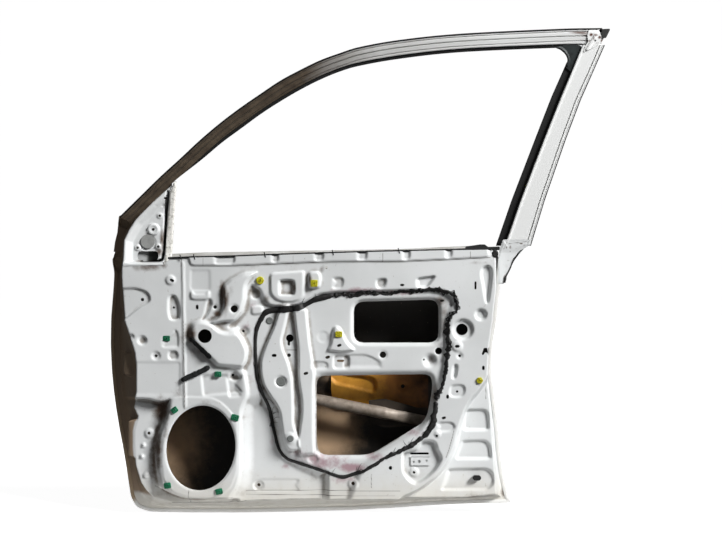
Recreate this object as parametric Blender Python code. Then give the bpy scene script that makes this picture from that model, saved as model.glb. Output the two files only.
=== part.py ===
"""Car door shell: the stripped right-hand front door of a car, in its own frame.

X runs to the rear of the car, Y outwards, Z up. The origin is the middle of the upper hinge seat.
Every size here is in millimetres, and becomes metres when a mesh is made.
Outlines are lists of (x, z) points seen from the cabin, where the trim face looks towards -Y.
"""
import bmesh
import bpy
import numpy as np
from mathutils import Vector
from mathutils.bvhtree import BVHTree
from mathutils.geometry import delaunay_2d_cdt

# Sheet thicknesses and the clearance between pieces that touch
INNER_SHEET = 0.9
SKIN_SHEET = 0.8
FRAME_SHEET = 1.4
PLATE = 1.5
GAP = 0.35

# Depths of the main faces, along Y
TRIM_Y = -45.0
FLANGE_Y = 38.0
SASH_Y = -8.0
LEAN = 0.19
BELT_Z = 90.0

# Widths
HEM = 9.0
FLANGE_MARGIN = 1.6
HINGE_SEAT = (80.0, 50.0)
CHECK_SEAT = (44.0, 40.0)
LATCH_SEAT = (32.0, 40.0)
SKIN_BULGE = 34.0
SKIN_RISE = 150.0
BELT_STRIP_SHEET = 1.2
BELT_STRIP_ENDS = (868, 75)
BELT_STRIP_DROP = 11.0
BELT_STIFFENER_WIDTH = 40
BACKING = 2.5
BACKING_HOLE = 5.0
BACKING_MARGIN = (10, 18)
PLUG_HEIGHT = 2.5
STIFFENER_SHEET = 1.0
STIFFENER_HOLE = (685, -235, 6)
CORNER_LEVEL = 560
CORNER_BEHIND = 8
CORNER_DEEP = 13.0
CAP_LENGTH = 22
CAP_DEEP = 20.0
CAP_BEHIND = 2
BEAM_RADIUS = 14.5
BEAM_WALL = 2.0
BEAM_Y = 16.0

# The skin's edge, from the front belt corner down, along the bottom and up the rear
SKIN_EDGE = [(-31, 80), (-31, 68), (-26, 43), (-28, 5), (-34, -70), (-35, -137), (-32, -201), (-27, -252),
             (-21, -296), (-13, -344), (-5, -385), (3, -432), (9, -473), (15, -511), (29, -536), (61, -547),
             (172, -549), (283, -549), (406, -547), (554, -543), (653, -538), (751, -531), (850, -527),
             (951, -525), (943, -506), (936, -477), (931, -457), (924, -408), (919, -346), (909, -260),
             (901, -198), (904, -137), (914, -75), (919, -26), (924, 11), (923, 62)]
SKIN_BELT = [(917, 92), (874, 107), (776, 103), (677, 98), (431, 94), (197, 90), (60, 84)]

# The trim face's border, the foot of the walls round it and the inner panel's belt edge
FACE = [(8, 130), (7, 31), (9, -6), (14, -74), (25, -106), (39, -151), (42, -180), (42, -245), (33, -284),
        (43, -306), (33, -340), (33, -379), (37, -425), (50, -466), (62, -484), (81, -503), (127, -515),
        (291, -511), (531, -504), (843, -504), (908, -496), (908, -480), (903, -410), (897, -346), (888, -260),
        (880, -200), (882, -137), (892, -75), (897, -26), (902, 5), (900, 130)]
FOOT = [(-7, 130), (-7, 31), (-5, -6), (-12, -74), (-13, -106), (-13, -151), (-12, -180), (-6, -245),
        (0, -284), (4, -306), (9, -340), (16, -379), (24, -425), (31, -466), (38, -500), (64, -526), (112, -532),
        (291, -533), (531, -527), (843, -513), (926, -511), (924, -480), (912, -410), (907, -346), (897, -260),
        (889, -200), (892, -137), (902, -75), (907, -26), (912, 5), (910, 130)]
BELT = [(913, 58), (907, 84), (906, 97), (771, 95), (603, 91), (435, 86), (274, 80), (183, 78), (123, 76), (8, 67),
        (-29, 67)]

# Pressed reliefs of the trim face: outline, depth along +Y and the run of its wall
RELIEFS = {
    "rear_step": ([(930, -150), (891, -192), (862, -240), (833, -278), (816, -324), (804, -372), (788, -410),
                   (756, -449), (713, -480), (663, -497), (640, -560), (980, -560)], 34.0, 20.0),
    "front_strip": ([(10, -255), (50, -256), (92, -262), (123, -266), (116, -293), (106, -336), (100, -372),
                     (100, -420), (101, -463), (84, -478), (60, -500), (10, -500)], 12.0, 24.0),
    "speaker_pad": ([(100, -262), (147, -235), (231, -230), (300, -250), (344, -293), (348, -360), (334, -432),
                     (291, -494), (195, -506), (111, -500), (92, -480), (96, -408)], -9.0, 26.0),
    "belt_band": ([(20, 140), (150, 140), (171, 58), (279, 58), (418, 64), (507, 67), (675, 68), (771, 72),
                   (891, 78), (880, 140), (898, 200), (20, 200)], -4.0, 3.0),
    "middle_ridge": ([(262, 46), (317, 46), (310, 14), (308, -31), (298, -60), (276, -79), (233, -77),
                      (224, -65), (245, -50), (255, -29), (252, 5)], -9.0, 11.0),
    "sunk_rectangle": ([(171, 50), (248, 50), (248, 0), (171, 0)], 5.0, 5.0),
    "dish": ([(166, -77), (185, -65), (214, -67), (238, -86), (245, -120), (228, -146), (195, -146),
              (166, -127)], 6.0, 12.0),
    "rib_front": ([(387, -55), (404, -58), (396, -96), (390, -132), (394, -149), (406, -173), (417, -197),
                   (418, -252), (418, -324), (428, -360), (401, -362), (389, -324), (380, -276), (363, -247),
                   (353, -228), (348, -204), (344, -173), (351, -149), (365, -115), (380, -84)], -8.0, 7.0),
    "rib_rear": ([(425, -58), (447, -58), (452, -96), (456, -132), (462, -168), (466, -197), (468, -360),
                  (442, -370), (444, -288), (437, -228), (432, -197), (432, -132), (429, -96)], -8.0, 6.0),
    "front_flat": ([(46, -170), (154, -170), (154, -259), (51, -254)], 5.0, 6.0),
    "clip_pocket": ([(454, 48), (484, 48), (484, 1), (454, 1)], 4.0, 5.0),
    "square_recess": ([(382, 22), (423, 22), (423, -12), (382, -12)], 5.0, 5.0),
    "pad_high": ([(838, -290), (888, -290), (891, -341), (833, -341)], 4.0, 4.0),
    "pad_middle": ([(816, -365), (893, -365), (898, -410), (807, -410)], 4.0, 4.0),
    "pad_low": ([(802, -434), (900, -434), (903, -485), (788, -485)], 4.0, 4.0),
    "bracket_recess": ([(680, -398), (694, -374), (747, -362), (764, -374), (773, -398), (771, -418),
                        (761, -434), (742, -451), (716, -466), (701, -456), (687, -430)], 7.0, 6.0),
    "drop": ([(872, 43), (876, 55), (886, 58), (894, 52), (895, 41), (889, 2), (885, -31), (879, 2)], 4.0, 4.0),
    "front_lobe": ([(68, -5), (77, -17), (76, -29), (65, -38), (46, -50), (20, -67), (17, -5)], -5.0, 5.0),
    "long_recess": ([(116, -14), (130, -7), (146, -17), (146, -65), (130, -74), (116, -62)], 4.0, 6.0),
    "clip_lobe": ([(502, -144), (510, -115), (519, -91), (538, -96), (567, -144)], -5.0, 7.0),
}
ROUND_RELIEFS = {
    "hole_dish": (828, -95, 25.0, 4.0, 6.0),
    "round_recess": (867, -59, 14.0, 5.0, 4.0),
    "front_dimple": (56, -121, 12.0, 3.0, 5.0),
    "lower_dimple": (466, -408, 12.0, 2.5, 6.0),
    "plug_dish": (389, -220, 15.0, 3.0, 4.0),
}

# Openings of the trim face
SPEAKER_HOLE = (197.0, -379.0, 82.5, 102.0, 7.0)
UPPER_HOLE = [(564, -42), (577, -30), (746, -24), (768, -46), (768, -113), (754, -127), (597, -127), (564, -94)]
LOWER_HOLE = [(474, -228), (478, -216), (492, -208), (512, -205), (735, -204), (752, -218), (754, -228),
              (749, -264), (737, -312), (720, -329), (663, -362), (603, -394), (579, -398), (507, -398),
              (488, -389), (477, -374), (474, -360)]
LATCH_HOLE = [(870, -139), (890, -139), (890, -155), (884, -157), (877, -150)]
ROUND_HOLES = [(208, -110, 16.6), (278, -45, 8.6), (634, -156, 7.4), (769, -147, 7.4), (828, -95, 13.4),
               (361, -74, 7.7), (410, -342, 7.2), (410, -116, 9.1), (56, -23, 4.1), (131, -42, 3.2),
               (89, -158, 3.8), (69, -346, 3.8), (231, -41, 4.3), (273, -205, 3.6), (298, -99, 3.4),
               (498, 54, 3.6), (818, -158, 3.4), (763, -350, 3.4), (709, -439, 3.4), (334, -472, 4.1),
               (562, -465, 4.3), (812, -244, 3.1)]
SLOTS = [(128, 23, 10.8, 5.5, -25), (188, -41, 5.3, 10.8, 0), (373, -157, 9.6, 5.8, 0),
         (529, -133, 9.6, 5.3, 20), (501, -162, 9.6, 5.3, 20), (532, -171, 16.8, 4.8, 0),
         (449, -200, 10.1, 5.3, 0), (680, 12, 9.6, 4.8, 0), (776, -26, 9.6, 4.8, 0), (856, 11, 4.4, 19.2, 0),
         (812, -135, 10.6, 5.8, 0), (874, -187, 4.8, 9.6, 0), (789, -256, 5.3, 9.1, 0), (780, -307, 9.1, 5.3, 10),
         (652, -427, 7.2, 8.6, 0), (407, -157, 7.2, 7.2, 0)]

# The window frame: outer and inner edge of each sash, seen from the cabin
HEADER_OUTER = [(-3, 177), (49, 226), (98, 272), (147, 315), (196, 359), (245, 399), (293, 434), (341, 466),
                (389, 497), (437, 522), (484, 544), (532, 561), (579, 575), (673, 591), (814, 605), (1043.6, 616),
                (1149, 618)]
HEADER_INNER = [(16, 147), (30, 172), (50, 194), (73, 216), (112, 252), (139, 274), (196, 317), (244, 356),
                (293, 391), (341, 425), (389, 455), (437, 482), (484, 505), (532, 524), (579, 537), (673, 553),
                (815, 568), (1043.6, 578.3), (1149, 579)]
REAR_OUTER = [(1157, 578.6), (1145, 550), (1131, 516), (1104, 452), (1071, 359), (1025, 217), (994, 107)]
REAR_INNER = [(1104, 578.6), (1090, 544), (1078, 513.5), (1056, 459), (1018, 359), (966, 217), (930, 107)]
CORNER = [(1044, 575), (1088, 577), (1101, 573), (1096.3, 561), (1085, 533), (1077.6, 515), (1068, 536),
          (1066, 548), (1056, 562)]
CHANNEL = 11.0
RUN_HEADER_WIDTH = 4.0
RUN_REAR_WIDTH = 20.0

# The mirror patch, its ridge and the post behind it
PATCH = [(-2.5, 70), (-2.5, 91), (-27, 93), (-23, 117), (-12, 155), (15, 145.5), (31, 171), (51, 192.5),
         (74, 214.5), (112, 249.5), (130, 263), (117, 240), (110, 169), (107, 120), (102, 62), (10, 62), (9, 70)]
PATCH_RIDGE = [(8, 50), (12, 120), (23, 143), (38, 167), (57, 187), (79, 209), (114, 241), (150, 274), (150, 50)]
PATCH_FOOT = [(-6, 50), (-6, 120), (8, 152), (25, 179), (44, 201), (67, 224), (107, 258), (150, 300), (170, 50)]
PATCH_DISH = [(12, 40), (15, 119), (27, 141), (42, 165), (61, 185), (83, 207), (116, 237), (150, 268), (150, 40)]
PATCH_DISH_RUN = 18.0
PATCH_HOLES = [(110, 214, 3.6), (96, 179, 4.8), (80, 146, 3.6), (44, 103, 4.5), (91, 105, 4.5)]
PATCH_WINDOW = [(47, 84), (88, 84), (91, 88), (91, 94), (88, 98), (47, 98), (44, 94), (44, 88)]
PATCH_PLUG = (67.0, 117.0, 17.0)
PATCH_FLOOR_Y = -27.0
OUTER_PATCH = [(-20, 96), (-20, 117), (-6, 160), (24, 175), (44, 198), (106, 250), (128, 262), (122, 181),
               (112, 96)]
POST_LEFT = [(117.4, 236), (110.6, 169), (107.6, 120), (103, 66)]
POST_RIGHT = [(138, 245), (132, 181), (127, 132), (124, 66)]

# The folded foot of the rear sash: its top, its folded rear edge and how deep the fold is
FOOT_TOP = [(930, 106.6), (980, 106.6)]
FOOT_REAR = [(990, 103), (978, 98), (966, 86), (949, 67), (939, 43), (930, 24), (925, 12)]
FOOT_SEAT_HEIGHTS = (12, 48, 99)
FOOT_FOLD = 30.0

# The beam inside, the stiffener on the skin and what is stuck or clipped on the trim face
BEAM = [(62, -184), (641, -304)]
STIFFENER = [(509, -150), (509, -253), (517, -263), (611, -284), (628, -295), (690, -300), (698, -280), (698, -150)]
BUTYL_LOWER = [(334, -221), (348, -259), (358, -281), (368, -329), (374, -353), (380, -377), (389, -394),
               (404, -408), (425, -416), (449, -422), (483, -436), (507, -442), (538, -450), (560, -444),
               (584, -436), (615, -416), (639, -403), (665, -390), (696, -376), (711, -367), (725, -358),
               (740, -343), (749, -329)]
BUTYL_UPPER = [(761, -264), (764, -252), (773, -235), (782, -204), (788, -168), (791, -120), (789, -96),
               (790, -77), (800, -60), (809, -48), (812, -34), (807, -17), (797, -7), (783, -2), (759, 0),
               (711, -2), (663, -7), (646, -10), (608, -10), (569, -13), (531, -10), (495, -17), (473, -22),
               (456, -31), (442, -38), (425, -44), (387, -47), (351, -55), (341, -70), (334, -84), (329, -101),
               (327, -125), (327, -156), (330, -202), (333, -216)]
BUTYL_WIDTH = 6.5
BUTYL_HEIGHT = 4.0
GREEN_CLIPS = [(114, -116, 0), (238, -202, 0), (134, -284, 35), (279, -306, -15), (114, -462, 8), (241, -484, 8)]
YELLOW_CLIPS = [(339, 23, 8, 9.5), (469, 16, 4, 8.0), (528, -108, 4, 9.0), (868, -217, 6, 9.0)]
CLIP_SIZE = (16.0, 12.5)
CLIP_HEIGHT = 4.0
FOAM_STRIPS = {"foam_strip_upper": [(171, -118), (221, -163)], "foam_strip_lower": [(152, -216), (216, -187)]}
FOAM_SIZE = (8.5, 5.0)
BUMPER = (862.0, -456.0, 20.0, 12.0)
BUMPER_HEIGHT = 8.0
BRACKET_PLATE = (724.0, -412.0, 46.0, 22.0)
PANEL_PLUG = (389.0, -220.0, 10.5)

# Colours as they look: linear red, green and blue, roughness and metallic
PAINT = ((0.62, 0.62, 0.60), 0.35, 0.0)
PRIMER = ((0.10, 0.08, 0.065), 0.6, 0.0)
GREY_RAIL = ((0.42, 0.42, 0.41), 0.45, 0.0)
BARE_STEEL = ((0.30, 0.27, 0.24), 0.5, 0.6)
ORANGE = ((0.42, 0.20, 0.03), 0.55, 0.0)
RUBBER = ((0.012, 0.012, 0.012), 0.75, 0.0)
BUTYL = ((0.01, 0.009, 0.009), 0.4, 0.0)
GREEN = ((0.01, 0.13, 0.06), 0.45, 0.0)
YELLOW = ((0.55, 0.53, 0.02), 0.45, 0.0)


def clear_scene():
    for old in list(bpy.data.objects):
        bpy.data.objects.remove(old, do_unlink=True)


def finish_of(name, finish):
    """A plain material with the piece's colour, roughness and metallic value."""
    colour, rough, metal = finish
    material = bpy.data.materials.new(name)
    material.use_nodes = True
    shader = material.node_tree.nodes["Principled BSDF"]
    shader.inputs["Base Color"].default_value = (*colour, 1.0)
    shader.inputs["Roughness"].default_value = rough
    shader.inputs["Metallic"].default_value = metal
    material.diffuse_color = (*colour, 1.0)
    return material


def make_object(name, points, faces, finish):
    """A closed mesh object from millimetre points, with its faces turned outwards."""
    mesh = bpy.data.meshes.new(name)
    mesh.from_pydata([tuple(float(c) * 0.001 for c in p) for p in points], [], faces)
    work = bmesh.new()
    work.from_mesh(mesh)
    bmesh.ops.recalc_face_normals(work, faces=work.faces)
    bmesh.ops.triangulate(work, faces=work.faces)
    work.to_mesh(mesh)
    work.free()
    mesh.materials.append(finish_of(name + "_finish", finish))
    thing = bpy.data.objects.new(name, mesh)
    bpy.context.scene.collection.objects.link(thing)
    return thing


def sheet(name, points, faces, thickness, finish):
    """A closed sheet from an open surface: each point goes back so that every face round it keeps the thickness."""
    p, f = np.asarray(points, float), np.asarray(faces, int)
    corner = p[f]
    cross = np.cross(corner[:, 1] - corner[:, 0], corner[:, 2] - corner[:, 0])
    area = np.linalg.norm(cross, axis=1)
    normal = cross / np.maximum(area, 1e-9)[:, None]
    grid, aim = np.zeros((len(p), 3, 3)), np.zeros((len(p), 3))
    weight = np.sqrt(area)
    for k in range(3):
        np.add.at(grid, f[:, k], weight[:, None, None] * normal[:, :, None] * normal[:, None, :])
        np.add.at(aim, f[:, k], weight[:, None] * normal * thickness)
    size = np.trace(grid, axis1=1, axis2=2)[:, None, None]
    move = np.linalg.solve(grid + np.eye(3) * size * 0.02, aim[:, :, None])[:, :, 0]
    length = np.linalg.norm(move, axis=1, keepdims=True)
    move *= np.clip(length, thickness, thickness * 1.8) / np.maximum(length, 1e-9)
    count = len(p)
    closed = [tuple(int(i) for i in t) for t in f] + [tuple(int(i) + count for i in t[::-1]) for t in f]
    edges = {(int(a), int(b)) for t in f for a, b in zip(t, np.roll(t, -1))}
    closed += [(b, a, a + count, b + count) for a, b in sorted(edges) if (b, a) not in edges]
    return make_object(name, np.vstack([p, p - move]), closed, finish)


def flow(points, parts=2, closed=False):
    """A Catmull-Rom curve through the points, with each span cut into parts."""
    p = np.array(points, float)
    if closed:
        p = np.vstack([p[-1], p, p[0], p[1]])
    else:
        p = np.vstack([2 * p[0] - p[1], p, 2 * p[-1] - p[-2]])
    t = np.linspace(0, 1, parts, endpoint=False)[:, None]
    out = []
    for a, b, c, d in zip(p, p[1:], p[2:], p[3:]):
        out.append(0.5 * (2 * b + (c - a) * t + (2 * a - 5 * b + 4 * c - d) * t**2 + (3 * b - 3 * c + d - a) * t**3))
    out = np.vstack(out)
    return out if closed else np.vstack([out, p[-2]])


def ring(x, z, rx, rz=None, sides=8, turn=0.0):
    """An ellipse with its long axis leaning by turn degrees."""
    rz = rx if rz is None else rz
    a = np.arange(sides) * 2 * np.pi / sides + np.pi / sides
    s, c = np.sin(np.radians(turn)), np.cos(np.radians(turn))
    u, v = rx * np.cos(a), rz * np.sin(a)
    return np.stack([x + u * c + v * s, z - u * s + v * c], axis=1)


def slot(x, z, width, height, turn):
    """A rounded slot: eight points, with its corners cut by a third of its short side."""
    w, h = width / 2, height / 2
    cut = min(w, h) * 0.6
    p = np.array([(-w, -h + cut), (-w + cut, -h), (w - cut, -h), (w, -h + cut), (w, h - cut), (w - cut, h),
                  (-w + cut, h), (-w, h - cut)])
    s, c = np.sin(np.radians(turn)), np.cos(np.radians(turn))
    return np.stack([x + p[:, 0] * c - p[:, 1] * s, z + p[:, 0] * s + p[:, 1] * c], axis=1)


def inside(loop, p):
    """True for each point of p that lies in the loop."""
    loop = np.asarray(loop, float)
    nxt = np.roll(loop, -1, axis=0)
    x, z = p[:, 0:1], p[:, 1:2]
    cross = (loop[:, 1] > z) != (nxt[:, 1] > z)
    rise = np.where(np.abs(nxt[:, 1] - loop[:, 1]) < 1e-9, 1e-9, nxt[:, 1] - loop[:, 1])
    at = loop[:, 0] + (z - loop[:, 1]) * (nxt[:, 0] - loop[:, 0]) / rise
    return (np.sum(cross & (x < at), axis=1) % 2) == 1


def depth_in(loop, p):
    """How far each point lies inside the loop; below zero outside it."""
    loop = np.asarray(loop, float)
    nxt = np.roll(loop, -1, axis=0)
    d = nxt - loop
    q = p[:, None, :] - loop[None]
    t = np.clip(np.sum(q * d, axis=2) / np.maximum(np.sum(d * d, axis=1), 1e-9), 0, 1)
    far = np.linalg.norm(q - t[..., None] * d, axis=2).min(axis=1)
    return np.where(inside(loop, p), far, -far)


def inset(loop, distance):
    """The loop moved inwards by a distance, corner by corner."""
    loop = np.asarray(loop, float)
    back, ahead = np.roll(loop, 1, axis=0), np.roll(loop, -1, axis=0)
    area = np.sum(loop[:, 0] * ahead[:, 1] - ahead[:, 0] * loop[:, 1])

    def normal(a, b):
        e = (b - a) / np.maximum(np.linalg.norm(b - a, axis=1, keepdims=True), 1e-9)
        return np.stack([-e[:, 1], e[:, 0]], axis=1) * np.sign(area)

    n0, n1 = normal(back, loop), normal(loop, ahead)
    m = n0 + n1
    m /= np.maximum(np.linalg.norm(m, axis=1, keepdims=True), 1e-9)
    return loop + m * distance / np.maximum(np.sum(m * n0, axis=1, keepdims=True), 0.35)


def mesh_flat(outline, holes=(), lines=(), extra=None):
    """Triangles of the region in the outline and out of the holes, with the lines kept as edges."""
    loops = [np.asarray(outline, float)] + [np.asarray(h, float) for h in holes]
    loops += [np.asarray(l, float) for l in lines]
    points, edges = [], []
    for loop in loops:
        start = len(points)
        points.extend(Vector(p) for p in loop)
        edges.extend((start + i, start + (i + 1) % len(loop)) for i in range(len(loop)))
    if extra is not None:
        points.extend(Vector(p) for p in extra)
    out = delaunay_2d_cdt(points, edges, [], 0, 1e-3, False)
    p = np.array([tuple(v) for v in out[0]])
    f = np.array([tuple(t) for t in out[2]])
    middle = p[f].mean(axis=1)
    keep = inside(outline, middle)
    for hole in holes:
        keep &= ~inside(hole, middle)
    f = f[keep]
    used = np.unique(f)
    back = np.full(len(p), -1)
    back[used] = np.arange(len(used))
    p, f = p[used], back[f]
    a, b, c = p[f[:, 0]], p[f[:, 1]], p[f[:, 2]]
    turned = (b[:, 0] - a[:, 0]) * (c[:, 1] - a[:, 1]) - (b[:, 1] - a[:, 1]) * (c[:, 0] - a[:, 0]) < 0
    f[turned] = f[turned][:, ::-1]
    return p, f


def border_x(line, z, front):
    """Where a border crosses height z, on the front side of the panel or on its rear side."""
    half = len(line) // 2
    part = np.array(line[:half] if front else line[half:], float)
    part = part[part[:, 1].argsort()]
    return float(np.interp(z, part[:, 1], part[:, 0]))


def wall_share(p):
    """How far down the wall round the trim face each point lies: 0 on the face, 1 on the flange."""
    out_of_face = np.maximum(-depth_in(FACE, p), 0)
    in_foot = np.maximum(depth_in(FOOT, p), 0)
    return out_of_face / np.maximum(out_of_face + in_foot, 1e-6)


def relief_loops():
    loops = {name: np.array(value[0], float) for name, value in RELIEFS.items()}
    loops.update({name: ring(x, z, r, sides=12) for name, (x, z, r, _, _) in ROUND_RELIEFS.items()})
    return loops


def relief_sizes():
    sizes = {name: value[1:] for name, value in RELIEFS.items()}
    sizes.update({name: value[3:] for name, value in ROUND_RELIEFS.items()})
    return sizes


def panel_depth(p):
    """Y of the inner panel's cabin side: the trim face with its reliefs, falling to the hem flange."""
    y = np.full(len(p), TRIM_Y)
    loops = relief_loops()
    for name, (depth, run) in relief_sizes().items():
        y += depth * np.clip(depth_in(loops[name], p) / run, 0, 1)
    share = wall_share(p)
    return y * (1 - share) + FLANGE_Y * share


def wall_x(z, y, front, top_y=TRIM_Y):
    """Where the outer side of the front or rear wall stands at height z and depth y."""
    face, foot = border_x(FACE, z, front), border_x(FOOT, z, front)
    return face + (foot - face) * (y - top_y) / (FLANGE_Y - top_y)


def seat_loop(front, z, size, y_middle):
    """The corners of a seat on the front or rear wall, in the flat outline's plane."""
    corners = []
    for dz, dy in ((-1, -1), (-1, 1), (1, 1), (1, -1)):
        height = z + dz * size[0] / 2
        corners.append((wall_x(height, y_middle + dy * size[1] / 2, front), height))
    return np.array(corners)


# Bolt holes of the seats: radius, and their place as a share of the seat's height
SEAT_HOLE = 5.5
SEAT_HOLE_SHARE = 0.27

# Seats pressed flat and square to X in the walls: side, height, size, depth and the plane they lie in
SEATS = {
    "upper_hinge": (True, 0.0, HINGE_SEAT, 0.0, 0.0),
    "check_strap": (True, -180.0, CHECK_SEAT, 0.0, 7.0),
    "lower_hinge": (True, -360.0, HINGE_SEAT, 0.0, 17.0),
    "latch": (False, -174.0, LATCH_SEAT, -8.0, 887.0),
}


def seat_holes(key):
    """Two bolt holes of a seat, drawn as the flat outline's plane sees them."""
    front, z, size, y_middle, _ = SEATS[key]
    holes = []
    for side in (-1, 1):
        middle = z + side * size[0] * SEAT_HOLE_SHARE
        squeeze = abs(wall_x(middle, y_middle + 1, front) - wall_x(middle, y_middle, front))
        holes.append(ring(wall_x(middle, y_middle, front), middle, SEAT_HOLE * squeeze, SEAT_HOLE, sides=8))
    return holes


def panel_outline():
    """The inner panel's own edge: inside the skin's hem, and the belt line on top."""
    edge = inset(SKIN_EDGE + SKIN_BELT, SKIN_SHEET + FLANGE_MARGIN)[2:len(SKIN_EDGE)]
    return np.vstack([edge, np.array(BELT, float)])


def build_inner_panel():
    outline = panel_outline()
    holes = [ring(*SPEAKER_HOLE[:4], sides=28, turn=SPEAKER_HOLE[4]), UPPER_HOLE, LOWER_HOLE, LATCH_HOLE]
    holes += [ring(x, z, r, sides=12 if r > 6 else 6) for x, z, r in ROUND_HOLES]
    holes += [slot(*s) for s in SLOTS]
    for key in SEATS:
        holes += seat_holes(key)
    lines = [FACE, FOOT]
    loops = relief_loops()
    for name, (_, run) in relief_sizes().items():
        lines += [loops[name], inset(loops[name], run)]
    seats = {key: seat_loop(*SEATS[key][:4]) for key in SEATS}
    lines += list(seats.values())
    lines = [clip_loop(l, outline) for l in lines]
    p, f = mesh_flat(outline, holes, lines)
    points = np.column_stack([p[:, 0], panel_depth(p), p[:, 1]])
    for key, loop in seats.items():
        seated = depth_in(loop, p) > -0.02
        points[seated, 0] = SEATS[key][4]
    return points, f


def clip_loop(loop, outline):
    """Pull a line's points that lie outside the outline back to a box just past it."""
    outline = np.asarray(outline)
    low, high = outline.min(axis=0) - 20, outline.max(axis=0) + 20
    return np.clip(np.asarray(loop, float), low, high)


def skin_depth(p):
    """Y of the skin's inner side: flat along the hem, then bulging outwards in one soft curve."""
    loop = SKIN_EDGE + SKIN_BELT
    s = np.clip((depth_in(loop, p) - HEM - 4) / SKIN_RISE, 0, 1)
    return FLANGE_Y + INNER_SHEET + GAP + SKIN_BULGE * (1 - (1 - s) ** 2)


HANDLE_DISH = (800.0, 20.0, 62.0, 30.0)
HANDLE_DEPTH = 14.0


def build_skin():
    loop = np.array(SKIN_EDGE + SKIN_BELT, float)
    fold = inset(loop, SKIN_SHEET)
    x, z, rx, rz = HANDLE_DISH
    dish, floor = ring(x, z, rx, rz, sides=16), ring(x, z, rx - 14, rz - 12, sides=12)
    holes = [ring(x - 34, z, 7, 7, sides=8), ring(x + 34, z, 9, 9, sides=8)]
    lines = [inset(loop, HEM + 4), inset(loop, HEM + 4 + SKIN_RISE * 0.3), dish, floor]
    gx, gz = np.meshgrid(np.arange(40, 900, 95.0), np.arange(-480, 60, 95.0))
    extra = np.column_stack([gx.ravel(), gz.ravel()])
    extra = extra[(depth_in(loop, extra) > 70) & (depth_in(dish, extra) < -20)]
    p, f = mesh_flat(fold, holes, lines, extra)
    y = skin_depth(p) - HANDLE_DEPTH * np.clip(depth_in(dish, p) / 12, 0, 1)
    points = [tuple(v) for v in np.column_stack([p[:, 0], y, p[:, 1]])]
    faces = [tuple(t) for t in f]
    edge =[int(np.argmin(np.linalg.norm(p - q, axis=1))) for q in fold]
    turned = inset(loop, HEM)
    first = len(points)
    points += [(q[0], FLANGE_Y - GAP, q[1]) for q in fold]
    points += [(q[0], FLANGE_Y - GAP, q[1]) for q in turned]
    count = len(fold)
    for i in range(count):
        j = (i + 1) % count
        for a, b, c, d in ((edge[j], edge[i], first + i, first + j),
                           (first + j, first + i, first + count + i, first + count + j)):
            faces += [(a, b, c), (a, c, d)]
    return sheet("outer_panel", points, faces, SKIN_SHEET, PAINT)


def lean(z):
    """Y of the window frame's cabin side, which leans in above the belt."""
    return SASH_Y - LEAN * max(0.0, z - BELT_Z)


def stretch(name, pairs, section, finish, base=0.0):
    """A profile carried along pairs of edge points; u runs from outer to inner edge, v along +Y."""
    rows = []
    for outer, inner in pairs:
        o = np.array([outer[0], lean(outer[1]) + base, outer[1]])
        i = np.array([inner[0], lean(inner[1]) + base, inner[1]])
        width = np.linalg.norm(i - o)
        across = (i - o) / width
        spine = [(u if u >= 0 else width + u) for u, _ in section]
        rows.append([o + across * u + np.array([0, v, 0]) for u, (_, v) in zip(spine, section)])
    count = len(section)
    points = [p for row in rows for p in row]
    faces = []
    for r in range(len(rows) - 1):
        for k in range(count):
            a, b = r * count + k, r * count + (k + 1) % count
            faces.append((a, b, b + count, a + count))
    faces.append(tuple(range(count))[::-1])
    faces.append(tuple(range((len(rows) - 1) * count, len(rows) * count)))
    return make_object(name, points, faces, finish)


def nearest_on(line, p):
    line = np.asarray(line, float)
    a, d = line[:-1], line[1:] - line[:-1]
    t = np.clip(np.sum((p - a) * d, axis=1) / np.sum(d * d, axis=1), 0, 1)
    q = a + d * t[:, None]
    return q[np.linalg.norm(q - p, axis=1).argmin()]


def sash_section(channel):
    """The roll-formed sash: three stepped bands, a hollow box and the channel for the glass run.

    The seam is left open by a slit on the back, as the rolled edge leaves it.
    A negative u is measured back from the inner edge.
    """
    t = FRAME_SHEET
    return [(0, 4), (3, 0), (14, 0), (15.5, 3), (25, 3), (27, 6), (-0.001, 6), (-0.001, 6 + t),
            (-channel, 6 + t), (-channel, 21), (-0.001, 21), (-0.001, 21 + t), (3, 21 + t), (0, 20), (0, 9),
            (t, 9), (t, 19.5), (3.5, 21), (-channel - t, 21), (-channel - t, 6 + t), (26, 6 + t),
            (24, 3 + t), (14.7, 3 + t), (13.2, t), (3.6, t), (t, 4.6), (t, 8.4), (0, 8.4)]


def build_frame():
    outer = flow(HEADER_OUTER, 2)
    inner_line = flow(HEADER_INNER, 3)
    pairs = [(o, nearest_on(inner_line, o)) for o in outer]
    stretch("header_sash", pairs, sash_section(CHANNEL), PRIMER)
    run_pairs = [(o, i) for o, i in pairs if PATCH[-5][0] + 20 < i[0] < CORNER[0][0]]
    stretch_run("glass_run_header", run_pairs, CHANNEL, RUN_HEADER_WIDTH)
    rear = list(zip(REAR_OUTER, REAR_INNER))
    stretch("rear_sash", rear, sash_section(CHANNEL), PAINT)
    low = [(o, i) for o, i in rear if i[1] < CORNER[5][1]]
    stretch_run("glass_run_rear", low, CHANNEL, RUN_REAR_WIDTH)
    slab("glass_run_corner", CORNER, lean(CORNER_LEVEL) + CORNER_BEHIND, CORNER_DEEP, RUBBER)
    end = HEADER_OUTER[-1]
    low_end = HEADER_INNER[-1]
    cap = [(end[0] + GAP, low_end[1] + 3), (end[0] + GAP, end[1] + 1), (end[0] + CAP_LENGTH, end[1] + 1),
           (end[0] + CAP_LENGTH, end[1] - 14), (end[0] + CAP_LENGTH - 8, low_end[1] + 3)]
    slab("sash_end_cap", cap, lean(end[1]) + CAP_BEHIND, CAP_DEEP, RUBBER)


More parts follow.
